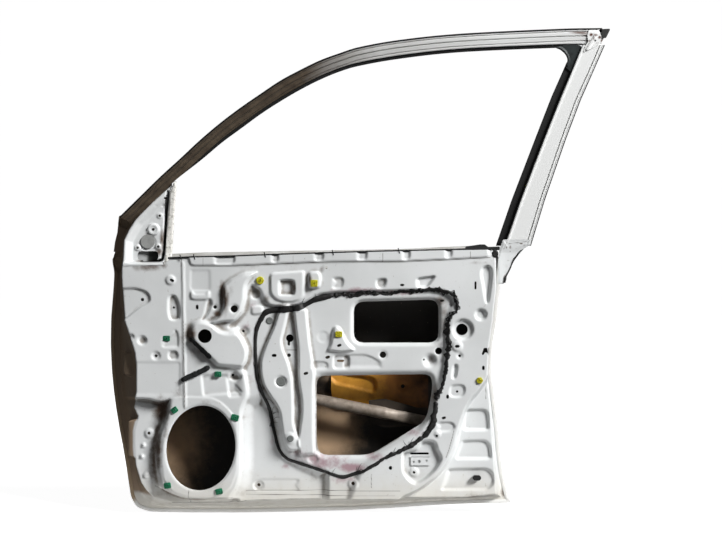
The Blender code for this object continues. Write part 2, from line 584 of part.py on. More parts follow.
def stretch_run(name, pairs, channel, proud):
    """The glass run is measured from the sash's inner edge, so its pairs start there."""
    moved = []
    for o, i in pairs:
        o, i = np.asarray(o, float), np.asarray(i, float)
        along = (i - o) / np.linalg.norm(i - o)
        moved.append((i - along * channel, i + along * proud))
    section = [(0.6, 8.0), (-0.001, 8.0), (-0.001, 10.0), (2.8, 10.0), (2.8, 18.4), (-0.001, 18.4),
               (-0.001, 20.4), (0.6, 20.4)]
    return stretch(name, moved, section, RUBBER)


def slab(name, loop, y, depth, finish, holes=()):
    """A flat piece: an outline with holes, from y to y + depth."""
    p, f = mesh_flat(loop, holes)
    count = len(p)
    points = [(x, y, z) for x, z in p] + [(x, y + depth, z) for x, z in p]
    faces = [tuple(t) for t in f] + [tuple(t[::-1] + count) for t in f]
    edges = {}
    for t in f:
        for a, b in zip(t, np.roll(t, -1)):
            edges[(int(a), int(b))] = True
    for a, b in edges:
        if (b, a) not in edges:
            faces.append((b, a, a + count, b + count))
    return make_object(name, points, faces, finish)


def build_mirror_patch():
    holes = [ring(x, z, r, sides=8) for x, z, r in PATCH_HOLES] + [PATCH_WINDOW]
    plug = ring(PATCH_PLUG[0], PATCH_PLUG[1], PATCH_PLUG[2] - 5, sides=12)
    holes.append(plug)
    lap = BELT[-3][1]
    lines = [PATCH_RIDGE, PATCH_FOOT, PATCH_DISH, inset(PATCH_DISH, PATCH_DISH_RUN)]
    lines += [[(10, lap), (104, lap), (104, lap + 6), (10, lap + 6)]]
    p, f = mesh_flat(PATCH, holes, [clip_loop(l, PATCH) for l in lines])
    points = np.column_stack([p[:, 0], patch_depth(p), p[:, 1]])
    sheet("mirror_patch", points, f, INNER_SHEET, PAINT)
    x, z, r = PATCH_PLUG
    y = patch_depth(np.array([[x, z]]))[0]
    slab("mirror_patch_plug", ring(x, z, r, sides=16), y - PLUG_HEIGHT - GAP, PLUG_HEIGHT, GREY_RAIL)
    p, f = mesh_flat(OUTER_PATCH)
    y = FLANGE_Y + INNER_SHEET + GAP - LEAN * (p[:, 1] - PATCH[0][1])
    sheet("outer_mirror_patch", np.column_stack([p[:, 0], y + SKIN_SHEET, p[:, 1]]), f[:, ::-1], SKIN_SHEET, PAINT)
    pairs = list(zip(POST_LEFT, POST_RIGHT))
    section = [(0, 0), (-0.001, 0), (-0.001, FRAME_SHEET), (FRAME_SHEET, FRAME_SHEET), (FRAME_SHEET, 22),
               (-0.001, 22), (-0.001, 22 + FRAME_SHEET), (0, 22 + FRAME_SHEET)]
    stretch("front_window_post", pairs, section, PAINT, base=-15.0)


def patch_depth(p):
    """Y of the mirror patch: a ridge along the sash, a dished middle and the wall down to the flange."""
    ridge = TRIM_Y + INNER_SHEET + GAP + 5.0 * np.clip((p[:, 1] - BELT_Z) / 150, 0, 1)
    y = ridge + (PATCH_FLOOR_Y - ridge) * np.clip(depth_in(PATCH_DISH, p) / PATCH_DISH_RUN, 0, 1)
    lap = np.clip((p[:, 1] - BELT[-3][1]) / 6, 0, 1)
    y = ridge + (y - ridge) * lap
    out_of_face = np.maximum(-depth_in(PATCH_RIDGE, p), 0)
    in_foot = np.maximum(depth_in(PATCH_FOOT, p), 0)
    share = out_of_face / np.maximum(out_of_face + in_foot, 1e-6)
    flange = FLANGE_Y - LEAN * np.maximum(p[:, 1] - PATCH[0][1], 0)
    return y * (1 - share) + flange * share


def build_foot_plate():
    """The sash's foot: a plate seated on the rear wall, with its rear edge folded outwards."""
    y = lean(BELT_Z) - 4.0
    seat = [(wall_x(z, y + PLATE, False) + GAP, z) for z in FOOT_SEAT_HEIGHTS]
    flat, f = mesh_flat(FOOT_TOP + FOOT_REAR + seat)
    place = [int(np.argmin(np.linalg.norm(flat - np.array(q), axis=1))) for q in FOOT_REAR]
    points = [(x, y, z) for x, z in flat] + [(x, y + FOOT_FOLD, z) for x, z in FOOT_REAR]
    faces = [tuple(t) for t in f]
    for k in range(len(FOOT_REAR) - 1):
        a, b, c, d = place[k], place[k + 1], len(flat) + k + 1, len(flat) + k
        faces += [(a, b, c), (a, c, d)]
    return sheet("sash_foot", points, faces, PLATE, PAINT)


def strip(name, line, drop, y, depth, finish):
    """A flat rail along a line of (x, z) points, hanging down from it by drop."""
    loop = list(line) + [(x, z - drop) for x, z in line[::-1]]
    return slab(name, loop, y, depth, finish)


def build_belt():
    inner_line = [(885, 92), (771, 90), (603, 86), (435, 81), (274, 75), (183, 73), (128, 71)]
    strip("inner_belt_reinforcement", inner_line, 20, TRIM_Y + INNER_SHEET + GAP, PLATE, PRIMER)
    belt = SKIN_BELT[1:]
    outer_line = [(x, z - 3) for x, z in belt]
    t = BELT_STRIP_SHEET
    top = GAP + t
    inner_y = FLANGE_Y - GAP - SKIN_SHEET - GAP
    outer_y = FLANGE_Y + INNER_SHEET + GAP + SKIN_SHEET + GAP
    strip("outer_belt_reinforcement", outer_line, BELT_STIFFENER_WIDTH, inner_y - t - GAP - PLATE, PLATE, PRIMER)
    rows = []
    low = -BELT_STRIP_DROP
    section = [(inner_y - t, low), (inner_y, low), (inner_y, GAP), (outer_y, GAP), (outer_y, low),
               (outer_y + t, low), (outer_y + t, top), (inner_y - t, top)]
    ends = np.array(sorted(belt), float)
    rear, front = BELT_STRIP_ENDS
    for x in (rear, *[x for x, z in belt[1:-1]], front):
        z = np.interp(x, ends[:, 0], ends[:, 1])
        rows.append([(x, y, z + dz) for y, dz in section])
    count = len(section)
    points = [p for row in rows for p in row]
    faces = []
    for r in range(len(rows) - 1):
        for k in range(count):
            a, b = r * count + k, r * count + (k + 1) % count
            faces.append((a, b, b + count, a + count))
    faces.append(tuple(range(count))[::-1])
    faces.append(tuple(range((len(rows) - 1) * count, len(rows) * count)))
    make_object("outer_belt_strip", points, faces, GREY_RAIL)


def tube(name, start, end, y, radius, thickness, finish, sides=14):
    """A straight hollow tube with open ends, in a plane of constant y."""
    a, b = np.array([start[0], y, start[1]]), np.array([end[0], y, end[1]])
    along = (b - a) / np.linalg.norm(b - a)
    side = np.array([0.0, 1.0, 0.0])
    up = np.cross(along, side)
    turn = np.arange(sides) * 2 * np.pi / sides
    points, faces = [], []
    for middle, r in ((a, radius), (b, radius), (b, radius - thickness), (a, radius - thickness)):
        points += [middle + r * (np.cos(t) * side + np.sin(t) * up) for t in turn]
    for ring_at in range(4):
        for k in range(sides):
            j = (k + 1) % sides
            low, high = ring_at * sides, ((ring_at + 1) % 4) * sides
            faces.append((low + k, low + j, high + j, high + k))
    return make_object(name, points, faces, finish)


def build_inside():
    tube("impact_beam_tube", BEAM[0], BEAM[1], BEAM_Y, BEAM_RADIUS, BEAM_WALL, BARE_STEEL)
    back = BEAM_Y + BEAM_RADIUS + GAP
    reach = INNER_SHEET * 1.3 + GAP
    front_seat = [(wall_x(z, back, True) + reach, z) for z in (-266, -240)]
    front_bracket = [(26, -226), (26, -140), (60, -140), (96, -160), (100, -215), (60, -266)]
    slab("beam_bracket_front", front_bracket + front_seat, back, PLATE, PRIMER)
    step_y = TRIM_Y + RELIEFS["rear_step"][1]
    rear_seat = [(wall_x(z, back, False, step_y) - reach, z) for z in (-296, -345)]
    rear_bracket = [(640, -338), (604, -330), (600, -272), (640, -268), (720, -290)]
    slab("beam_bracket_rear", rear_bracket + rear_seat + [(720, -335)], back, PLATE, PRIMER)
    p, f = mesh_flat(STIFFENER, [ring(*STIFFENER_HOLE)])
    y = skin_depth(p) - GAP - STIFFENER_SHEET
    sheet("skin_stiffener", np.column_stack([p[:, 0], y, p[:, 1]]), f, STIFFENER_SHEET, ORANGE)
    for key in SEATS:
        front, z, size, y_middle, plane = SEATS[key]
        x = plane + INNER_SHEET + GAP if front else plane - INNER_SHEET - GAP - BACKING
        tall, deep = size[0] - BACKING_MARGIN[0], size[1] - BACKING_MARGIN[1]
        backing(key + "_plate", x, BACKING, z, tall, y_middle, deep)


def backing(name, x, thickness, z, tall, y, deep):
    """A tapped plate behind a wall seat, with the seat's two bolt holes."""
    key = name[:-6]
    size = SEATS[key][2]
    loop = [(y - deep / 2, z - tall / 2), (y + deep / 2, z - tall / 2), (y + deep / 2, z + tall / 2),
            (y - deep / 2, z + tall / 2)]
    holes = [ring(y, z + side * size[0] * SEAT_HOLE_SHARE, BACKING_HOLE, sides=8) for side in (-1, 1)]
    plate = slab(name, loop, x, thickness, PRIMER, holes)
    for v in plate.data.vertices:
        v.co = Vector((v.co.y, v.co.x, v.co.z))
    plate.data.flip_normals()
    return plate


class Surface:
    """The trim face as it was built, to seat the small pieces on."""

    def __init__(self, points, faces):
        self.tree = BVHTree.FromPolygons([tuple(p) for p in points], [tuple(f) for f in faces])

    def y_at(self, x, z):
        hit = self.tree.ray_cast(Vector((x, -200.0, z)), Vector((0, 1, 0)))
        return hit[0].y if hit[0] is not None else None

    def lowest(self, points):
        values = [self.y_at(x, z) for x, z in points]
        values = [v for v in values if v is not None]
        return min(values)


def footprint(loop):
    """Points over and round an outline, where the face below it is felt."""
    loop = np.asarray(loop, float)
    middle = loop.mean(axis=0)
    return [tuple(middle + (p - middle) * s) for p in flow(loop, 3, closed=True) for s in (0, 0.35, 0.7, 1.04)]


def seated(name, loop, height, finish, surface, holes=()):
    y = surface.lowest(footprint(loop)) - GAP
    return slab(name, loop, y - height, height, finish, holes)


def bead(name, route, width, height, surface, finish):
    """A half-round bead of sealer along a route, lying on the face below it."""
    line = flow(route, 3)
    along = np.gradient(line, axis=0)
    along /= np.linalg.norm(along, axis=1, keepdims=True)
    side = np.stack([-along[:, 1], along[:, 0]], axis=1)
    floor = []
    for p, a, s in zip(line, along, side):
        probe = [tuple(p + a * i + s * j) for i in (-10, -6, -3, 0, 3, 6, 10) for j in (-width / 2, 0, width / 2)]
        floor.append(surface.lowest(probe) - GAP)
    section = [(-0.5, 0), (-0.36, -0.7), (0, -1), (0.36, -0.7), (0.5, 0)]
    points, faces = [], []
    for p, s, y in zip(line, side, floor):
        for u, v in section:
            points.append((p[0] + s[0] * u * width, y + v * height, p[1] + s[1] * u * width))
    count = len(section)
    for r in range(len(line) - 1):
        for k in range(count):
            a, b = r * count + k, r * count + (k + 1) % count
            faces.append((a, b, b + count, a + count))
    faces.append(tuple(range(count))[::-1])
    faces.append(tuple(range((len(line) - 1) * count, len(line) * count)))
    return make_object(name, points, faces, finish)


def build_small_pieces(surface):
    bead("butyl_lower", BUTYL_LOWER, BUTYL_WIDTH, BUTYL_HEIGHT, surface, BUTYL)
    bead("butyl_upper", BUTYL_UPPER, BUTYL_WIDTH, BUTYL_HEIGHT, surface, BUTYL)
    for number, (x, z, turn) in enumerate(GREEN_CLIPS, 1):
        seated(f"green_clip_{number}", slot(x, z, *CLIP_SIZE, turn), CLIP_HEIGHT, GREEN, surface)
    for number, (x, z, sides, radius) in enumerate(YELLOW_CLIPS, 1):
        seated(f"yellow_clip_{number}", ring(x, z, radius * (1.2 if sides == 4 else 1.0), sides=sides),
               CLIP_HEIGHT, YELLOW, surface)
    width, height = FOAM_SIZE
    for name, (a, b) in FOAM_STRIPS.items():
        a, b = np.array(a, float), np.array(b, float)
        turn = np.degrees(np.arctan2(b[1] - a[1], b[0] - a[0]))
        middle = (a + b) / 2
        seated(name, slot(middle[0], middle[1], np.linalg.norm(b - a), width, turn), height, RUBBER, surface)
    x, z, w, h = BUMPER
    seated("rubber_bumper", slot(x, z, w, h, 0), BUMPER_HEIGHT, RUBBER, surface)
    x, z, w, h = BRACKET_PLATE
    bolts = [ring(x - 16, z, 2.4, sides=6), ring(x - 3, z, 3.8, sides=8), ring(x + 15, z, 2.4, sides=6)]
    seated("lower_bracket_plate", slot(x, z, w, h, 0), PLATE, BARE_STEEL, surface, bolts)
    x, z, r = PANEL_PLUG
    seated("panel_plug", ring(x, z, r, sides=14), PLUG_HEIGHT, GREY_RAIL, surface)


def main():
    clear_scene()
    points, faces = build_inner_panel()
    sheet("inner_panel", points, faces, INNER_SHEET, PAINT)
    build_skin()
    build_frame()
    build_mirror_patch()
    build_foot_plate()
    build_belt()
    build_inside()
    build_small_pieces(Surface(points, faces))


main()
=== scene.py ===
# %% [markdown]
# A stripped car door shell, seen from the cabin side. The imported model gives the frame: the origin is
# the upper hinge seat, X runs to the rear of the car, Y outwards and Z up. Every length below is in
# millimetres and becomes metres when a mesh is made.

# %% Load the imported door
import bmesh
import bpy
import numpy as np
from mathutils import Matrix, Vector


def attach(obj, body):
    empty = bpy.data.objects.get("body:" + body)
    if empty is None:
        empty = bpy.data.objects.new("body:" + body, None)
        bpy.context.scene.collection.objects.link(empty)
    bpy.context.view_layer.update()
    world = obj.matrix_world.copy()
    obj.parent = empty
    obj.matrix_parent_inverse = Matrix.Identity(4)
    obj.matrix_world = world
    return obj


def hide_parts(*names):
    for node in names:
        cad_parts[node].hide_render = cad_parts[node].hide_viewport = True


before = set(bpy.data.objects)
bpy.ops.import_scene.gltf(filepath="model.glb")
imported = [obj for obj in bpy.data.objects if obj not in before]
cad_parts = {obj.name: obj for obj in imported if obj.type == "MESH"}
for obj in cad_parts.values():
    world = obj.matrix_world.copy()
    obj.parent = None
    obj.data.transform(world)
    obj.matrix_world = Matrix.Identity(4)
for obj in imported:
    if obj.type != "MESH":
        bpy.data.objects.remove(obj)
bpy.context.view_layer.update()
print("packed nodes:", len(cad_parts))

# %% [markdown]
# The camera stands 3.2 m in front of the trim face and looks square at it, because the photograph
# shows the left and the right side of the door at one scale. The lens makes 2.4 mm of the trim face
# one pixel wide.

# %% Camera
MM = 0.001
TRIM_Y = -45.0
CAMERA_DISTANCE = 3200.0
CAMERA_X, CAMERA_Z = 581.2, 45.6
MM_PER_PIXEL = 2.4
FRAME_WIDTH = 722
SENSOR = 36.0
camera = bpy.data.cameras.new("camera")
camera.sensor_width = SENSOR
camera.lens = SENSOR * CAMERA_DISTANCE / (MM_PER_PIXEL * FRAME_WIDTH)
camera_object = bpy.data.objects.new("camera", camera)
bpy.context.scene.collection.objects.link(camera_object)
camera_object.location = (CAMERA_X * MM, (TRIM_Y - CAMERA_DISTANCE) * MM, CAMERA_Z * MM)
camera_object.rotation_euler = (np.pi / 2, 0, 0)
bpy.context.scene.camera = camera_object
bpy.context.scene.view_settings.view_transform = "Standard"
print("lens:", round(camera.lens, 2), "mm")

# %% [markdown]
# Sheet metal is drawn with a few small tools: a soft step, a smooth curve through points, and the
# distance of every point of a grid to an outline. They all work on whole arrays.

# %% Soft steps and smooth curves


def soft_step(t):
    """The S-curve 3t^2 - 2t^3, held at 0 and 1 past its ends."""
    t = np.clip(t, 0, 1)
    return t * t * (3 - 2 * t)


def curve(points, parts=4, closed=False):
    """Catmull-Rom: between b and c, half of 2b + (c-a)t + (2a-5b+4c-d)t^2 + (3b-3c+d-a)t^3."""
    p = np.array(points, float)
    if closed:
        p = np.vstack([p[-1], p, p[0], p[1]])
    else:
        p = np.vstack([2 * p[0] - p[1], p, 2 * p[-1] - p[-2]])
    a, b, c, d = p[:-3, None], p[1:-2, None], p[2:-1, None], p[3:, None]
    t = np.linspace(0, 1, parts, endpoint=False)[None, :, None]
    line = 0.5 * (2 * b + (c - a) * t + (2 * a - 5 * b + 4 * c - d) * t**2 + (3 * b - 3 * c + d - a) * t**3)
    line = line.reshape(-1, p.shape[1])
    return line if closed else np.vstack([line, p[-2]])


def rounded(points, radius, parts=5):
    """A closed outline with each corner cut back by the radius and turned as a quadratic arc."""
    p = np.array(points, float)
    back, ahead = np.roll(p, 1, axis=0), np.roll(p, -1, axis=0)
    near = [np.linalg.norm(q - p, axis=1, keepdims=True) for q in (back, ahead)]
    start = p + (back - p) * np.minimum(radius / near[0], 0.49)
    end = p + (ahead - p) * np.minimum(radius / near[1], 0.49)
    t = np.linspace(0, 1, parts)[None, :, None]
    arc = start[:, None] * (1 - t) ** 2 + 2 * p[:, None] * t * (1 - t) + end[:, None] * t**2
    return arc.reshape(-1, 2)


print("a soft step at a quarter:", soft_step(0.25))

# %% [markdown]
# The door's holes and pads need only four kinds of outline: an oval, a rectangle, a slot, and a band
# of one width round a line. Each is an array of points in x and z, so all later steps treat them alike.

# %% Outlines


def oval(x, z, rx, rz=None, turn=0.0, sides=48):
    """An ellipse round (x, z) with its upright axis leaning right by turn degrees."""
    rz = rx if rz is None else rz
    a = np.arange(sides) * 2 * np.pi / sides
    s, c = np.sin(np.radians(turn)), np.cos(np.radians(turn))
    u, v = rx * np.cos(a), rz * np.sin(a)
    return np.stack([x + u * c + v * s, z - u * s + v * c], axis=1)


def box_loop(x, z, width, height, turn=0.0):
    """A rectangle round (x, z), turned left by turn degrees."""
    s, c = np.sin(np.radians(turn)), np.cos(np.radians(turn))
    u = np.array([-1, 1, 1, -1]) * width / 2
    v = np.array([-1, -1, 1, 1]) * height / 2
    return np.stack([x + u * c - v * s, z + u * s + v * c], axis=1)


def slot_loop(x, z, width, height, turn=0.0):
    """A slot: the rectangle with its short sides turned round."""
    return rounded(box_loop(x, z, width, height, turn), min(width, height) / 2)


def band_loop(line, width):
    """The outline of a band of the given width round an open line."""
    line = np.asarray(line, float)
    along = np.gradient(line, axis=0)
    along /= np.linalg.norm(along, axis=1, keepdims=True)
    side = np.stack([-along[:, 1], along[:, 0]], axis=1) * width / 2
    return np.vstack([line + side, (line - side)[::-1]])


print("a slot's points:", len(slot_loop(0, 0, 10, 4)))

# %% [markdown]
# How far a point lies inside or outside an outline decides nearly everything on pressed metal: where
# a wall starts, how far down it has come, and where a hole cuts. A blur over the grid then eases the
# creases, as thick paint and stretched steel do.

# %% Distances, insets and blur


def edge_distance(loop, x, z, reach=40.0):
    """Distance to the loop, above zero inside and below zero outside, and the nearest point on the loop."""
    loop = np.asarray(loop, float)
    low, high = loop.min(axis=0) - reach, loop.max(axis=0) + reach
    near = (x > low[0]) & (x < high[0]) & (z > low[1]) & (z < high[1])
    px, pz = x[near], z[near]
    best = np.full(px.shape, 1e9)
    qx, qz = px.copy(), pz.copy()
    odd = np.zeros(px.shape, bool)
    for (ax, az), (bx, bz) in zip(loop, np.roll(loop, -1, axis=0)):
        dx, dz = bx - ax, bz - az
        t = np.clip(((px - ax) * dx + (pz - az) * dz) / max(dx * dx + dz * dz, 1e-9), 0, 1)
        sx, sz = ax + t * dx, az + t * dz
        gap = (px - sx) ** 2 + (pz - sz) ** 2
        closer = gap < best
        best[closer], qx[closer], qz[closer] = gap[closer], sx[closer], sz[closer]
        if dz:
            odd ^= ((az > pz) != (bz > pz)) & (px < ax + (pz - az) * dx / dz)
    depth, to_x, to_z = np.full(x.shape, -reach), x.copy(), z.copy()
    depth[near] = np.where(odd, 1, -1) * np.sqrt(best)
    to_x[near], to_z[near] = qx, qz
    return depth, to_x, to_z


def inset(loop, distance):
    """The loop moved inwards, corner by corner along the middle of its two normals."""
    loop = np.asarray(loop, float)
    back, ahead = np.roll(loop, 1, axis=0), np.roll(loop, -1, axis=0)
    area = np.sum(loop[:, 0] * ahead[:, 1] - ahead[:, 0] * loop[:, 1])

    def normal(a, b):
        e = (b - a) / np.maximum(np.linalg.norm(b - a, axis=1, keepdims=True), 1e-9)
        return np.stack([-e[:, 1], e[:, 0]], axis=1) * np.sign(area)

    n0, n1 = normal(back, loop), normal(loop, ahead)
    m = n0 + n1
    m /= np.maximum(np.linalg.norm(m, axis=1, keepdims=True), 1e-9)
    return loop + m * distance / np.maximum(np.sum(m * n0, axis=1, keepdims=True), 0.35)


def blurred(field, passes):
    """Each pass mixes a point with its neighbours in the ratio 1 : 2 : 1, both ways."""
    for _ in range(passes):
        for axis in (0, 1):
            pad = [(0, 0), (0, 0)]
            pad[axis] = (1, 1)
            wide = np.pad(field, pad, mode="edge")
            low, high = [slice(None)] * 2, [slice(None)] * 2
            low[axis], high[axis] = slice(0, -2), slice(2, None)
            field = 0.5 * field + 0.25 * (wide[tuple(low)] + wide[tuple(high)])
    return field


print("depth in the middle of a 20 mm hole:", edge_distance(oval(0, 0, 10), np.zeros(1), np.zeros(1))[0])

# %% [markdown]
# A mesh is made from one array of points and arrays of triangles or quads, with no loop over its
# points. The same helper says to the frame that the piece rides on the door, and hides the imported
# solids it stands for.

# %% Meshes from arrays


def build(name, points, faces, replaces=(), normals=None):
    """A smooth mesh piece from millimetre points; it rides on the door."""
    mesh = bpy.data.meshes.new(name)
    faces = [np.asarray(f, np.int32) for f in faces if len(f)]
    counts = np.concatenate([np.full(len(f), f.shape[1]) for f in faces])
    corners = np.concatenate([f.ravel() for f in faces])
    mesh.vertices.add(len(points))
    mesh.vertices.foreach_set("co", (np.asarray(points) * MM).astype(np.float32).ravel())
    mesh.loops.add(len(corners))
    mesh.loops.foreach_set("vertex_index", corners)
    mesh.polygons.add(len(counts))
    mesh.polygons.foreach_set("loop_start", np.concatenate([[0], np.cumsum(counts)[:-1]]).astype(np.int32))
    mesh.polygons.foreach_set("use_smooth", np.ones(len(counts), bool))
    mesh.update(calc_edges=True)
    mesh.validate()
    if normals is not None:
        mesh.normals_split_custom_set_from_vertices(normals)
    piece = bpy.data.objects.new(name, mesh)
    bpy.context.scene.collection.objects.link(piece)
    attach(piece, "root")
    for node in replaces:
        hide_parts(node)
    return piece


def paint_values(piece, name, values):
    """Stores one number for each point, which a material reads by its name."""
    piece.data.attributes.new(name, "FLOAT", "POINT").data.foreach_set("value", values.astype(np.float32))


print("one millimetre in Blender's metres:", MM)

# %% [markdown]
# A pressed sheet is a grid whose points near a cut are pulled onto it, so that holes are round although
# the grid is square. A boolean would cut as well, but slowly and with slivers. Only points within
# about half a cell of the cut move, and the normals come from the grid's own two directions.

# %% Grids pulled to their cuts


def pull_to_cuts(x, z, outline, holes):
    """Moves points within half a cell of a cut onto it, and gives each point's depth inside the metal."""
    depth = np.full(x.shape, 1e3)
    reach = 0.55 * np.minimum(np.abs(np.gradient(x, axis=1)), np.abs(np.gradient(z, axis=0)))
    for loop, sign in [(outline, 1)] + [(hole, -1) for hole in holes]:
        far, to_x, to_z = edge_distance(loop, x, z)
        close = np.abs(far) < reach
        x, z = np.where(close, to_x, x), np.where(close, to_z, z)
        depth = np.minimum(depth, np.where(close, 0, far * sign))
    return x, z, depth


def grid_triangles(solid):
    """Triangles of the grid cells; the diagonal is laid so that a corner in a hole is cut off alone."""
    number = np.arange(solid.size).reshape(solid.shape)
    a, b, c, d = number[:-1, :-1], number[:-1, 1:], number[1:, 1:], number[1:, :-1]
    bad = ~solid.ravel()
    turn = bad[a] | bad[c]
    one = np.where(turn[..., None], np.stack([a, b, d], -1), np.stack([a, b, c], -1)).reshape(-1, 3)
    two = np.where(turn[..., None], np.stack([b, c, d], -1), np.stack([a, c, d], -1)).reshape(-1, 3)
    faces = np.vstack([one, two])
    return faces[~bad[faces].any(axis=1)]


def grid_normals(points):
    """The cross product of the grid's two directions, which looks to the cabin on a sheet in x and z."""
    along, up = np.gradient(points, axis=1), np.gradient(points, axis=0)
    n = np.cross(along, up)
    return n / np.maximum(np.linalg.norm(n, axis=-1, keepdims=True), 1e-9)


print("triangles of a small whole grid:", len(grid_triangles(np.ones((3, 3), bool))))

# %% [markdown]
# Steel sheet has two faces and an edge. The second face is the first one moved back along the
# normals, and a strip of quads closes each edge that belongs to one triangle only.

# %% Sheets with a thickness


def sheet_pieces(names, grid, solid, thickness, slot, replaces, cuts=(), marks=None):
    """Closed sheets from a grid of points; cuts are the columns where the next piece begins."""
    normals = grid_normals(grid)
    back = grid - normals * thickness
    faces = grid_triangles(solid)
    column = (faces % solid.shape[1]).min(axis=1)
    bounds = [0, *cuts, solid.shape[1]]
    pieces = []
    for name, low, high in zip(names, bounds, bounds[1:]):
        part = faces[(column >= low) & (column < high)]
        used, renumbered = np.unique(part, return_inverse=True)
        part = renumbered.reshape(-1, 3)
        count = len(used)
        edges = np.vstack([part[:, [0, 1]], part[:, [1, 2]], part[:, [2, 0]]])
        key = np.sort(edges, axis=1) @ np.array([count, 1])
        _, first, times = np.unique(key, return_index=True, return_counts=True)
        free = edges[first[times == 1]]
        rim = np.column_stack([free[:, 1], free[:, 0], free[:, 0] + count, free[:, 1] + count])
        points = np.vstack([grid.reshape(-1, 3)[used], back.reshape(-1, 3)[used]])
        turned = normals.reshape(-1, 3)[used]
        piece = build(name, points, [part, part[:, ::-1] + count, rim], replaces,
                      np.vstack([turned, -turned]))
        for key_name, values in (marks or {}).items():
            flat = values.ravel()[used]
            paint_values(piece, key_name, np.concatenate([flat, flat]))
        paint_values(piece, "inner_side", np.repeat([1.0, 0.0], count))
        pieces.append(piece)
        print(name, "triangles:", len(part) * 2 + len(rim) * 2)
    return pieces


print("sheets are made by:", sheet_pieces.__name__)

# %% [markdown]
# The inner panel is deep-drawn from one sheet. Its trim face stands 83 mm in front of the flange that
# the skin is folded round, and steep walls join the two. The borders of face and flange are read at
# the height of each row, so the grid's columns follow the walls and each wall gets columns of its
# own.

# %% Borders of the inner panel
INNER_SHEET = 0.9
SKIN_SHEET = 0.8
GAP = 0.35
FLANGE_Y = 38.0
HEM = 9.0
FLANGE_MARGIN = 1.6
SKIN_EDGE = [(-31, 80), (-31, 68), (-26, 43), (-28, 5), (-34, -70), (-35, -137), (-32, -201),
             (-27, -252), (-21, -296), (-13, -344), (-5, -385), (3, -432), (9, -473), (15, -511),
             (29, -536), (61, -547), (172, -549), (283, -549), (406, -547), (554, -543), (653, -538),
             (751, -531), (850, -527), (951, -525), (943, -506), (936, -477), (931, -457), (924, -408),
             (919, -346), (909, -260), (901, -198), (904, -137), (914, -75), (919, -26), (924, 11),
             (923, 62)]
SKIN_BELT = [(917, 92), (874, 107), (776, 103), (677, 98), (431, 94), (197, 90), (60, 84)]
FACE_FRONT = [(8, 130), (7, 31), (9, -6), (14, -74), (25, -106), (39, -151), (42, -180), (42, -245),
              (33, -284), (43, -306), (33, -340), (33, -379), (37, -425), (50, -466), (62, -484),
              (81, -503)]
FACE_BOTTOM = [(127, -515), (291, -511), (531, -504), (843, -504)]
FACE_REAR = [(908, -496), (908, -480), (903, -410), (899, -346), (892, -260), (885, -200), (888, -137),
             (897, -75), (902, -26), (906, 5), (904, 130)]
FOOT_FRONT = [(-7, 130), (-7, 31), (-5, -6), (-12, -74), (-13, -106), (-13, -151), (-12, -180),
              (-6, -245), (0, -284), (4, -306), (9, -340), (16, -379), (24, -425), (31, -466),
              (38, -500), (64, -526)]
FOOT_BOTTOM = [(112, -532), (291, -533), (531, -527), (843, -513)]
FOOT_REAR = [(926, -511), (924, -480), (912, -410), (907, -346), (897, -260), (889, -200), (892, -137),
             (902, -75), (907, -26), (912, 5), (910, 130)]
BELT = [(913, 58), (907, 84), (906, 97), (771, 95), (603, 91), (435, 86), (274, 80), (183, 78),
        (123, 76), (110, 63), (10, 61), (4, 67), (-29, 67)]
FACE = FACE_FRONT + FACE_BOTTOM + FACE_REAR
FOOT = FOOT_FRONT + FOOT_BOTTOM + FOOT_REAR
flange_edge = inset(SKIN_EDGE + SKIN_BELT, SKIN_SHEET + FLANGE_MARGIN)[2:len(SKIN_EDGE)]
PANEL_EDGE = np.vstack([flange_edge, BELT])
print("height of the panel:", round(np.ptp(PANEL_EDGE[:, 1])), "mm")

# %% [markdown]
# The grid's rows are level. In each row the columns are spread between the border lines, so that a
# fixed number of them always lies on each wall, however it leans or bends.

# %% The panel's grid


def border(points, z):
    """X of a border line at the heights z, by straight lines between its points."""
    p = np.array(sorted(points, key=lambda q: q[1]), float)
    return np.interp(z, p[:, 1], p[:, 0])


def fitted_columns(borders, counts, z):
    """Columns that run evenly from each border line to the next."""
    lines = [border(line, z) for line in borders]
    spans = [low[:, None] + (high - low)[:, None] * np.arange(n) / n
             for low, high, n in zip(lines, lines[1:], counts)]
    return np.hstack(spans + [lines[-1][:, None]])


ROW_STEP = 2.1
COLUMNS = (7, 26, 410, 16, 7)
EDGE_FRONT_END = 60.0
EDGE_REAR_START = 850.0
edge_front = [tuple(p) for p in PANEL_EDGE if p[0] < EDGE_FRONT_END and p[1] < EDGE_FRONT_END]
edge_rear = [tuple(p) for p in PANEL_EDGE if p[0] > EDGE_REAR_START]
panel_rows = np.arange(PANEL_EDGE[:, 1].min() - 1, PANEL_EDGE[:, 1].max() + ROW_STEP, ROW_STEP)
panel_borders = [edge_front, FOOT_FRONT, FACE_FRONT, FACE_REAR, FOOT_REAR, edge_rear]
panel_x = fitted_columns(panel_borders, COLUMNS, panel_rows)
panel_z = np.repeat(panel_rows[:, None], panel_x.shape[1], axis=1)
print("inner panel grid:", panel_x.shape)

# %% [markdown]
# The holes of the trim face: the leaning oval for the speaker, two service holes, the latch's window
# and all the round holes and slots that held the trim, the wiring and the window lift.

# %% Holes of the inner panel
SPEAKER_HOLE = oval(197, -379, 82.5, 102, 7, sides=96)
UPPER_HOLE = rounded([(564, -127), (564, -29), (768, -23), (768, -127)], 24)
LOWER_HOLE = rounded([(474, -207), (618, -205), (749, -203), (754, -228), (749, -264), (737, -316),
                      (663, -362), (603, -398), (480, -398), (474, -360)], 22)
LATCH_HOLE = rounded([(876, -139), (891, -139), (894, -156), (884, -156), (884, -150), (878, -150),
                      (877, -156), (870, -156)], 1.5)
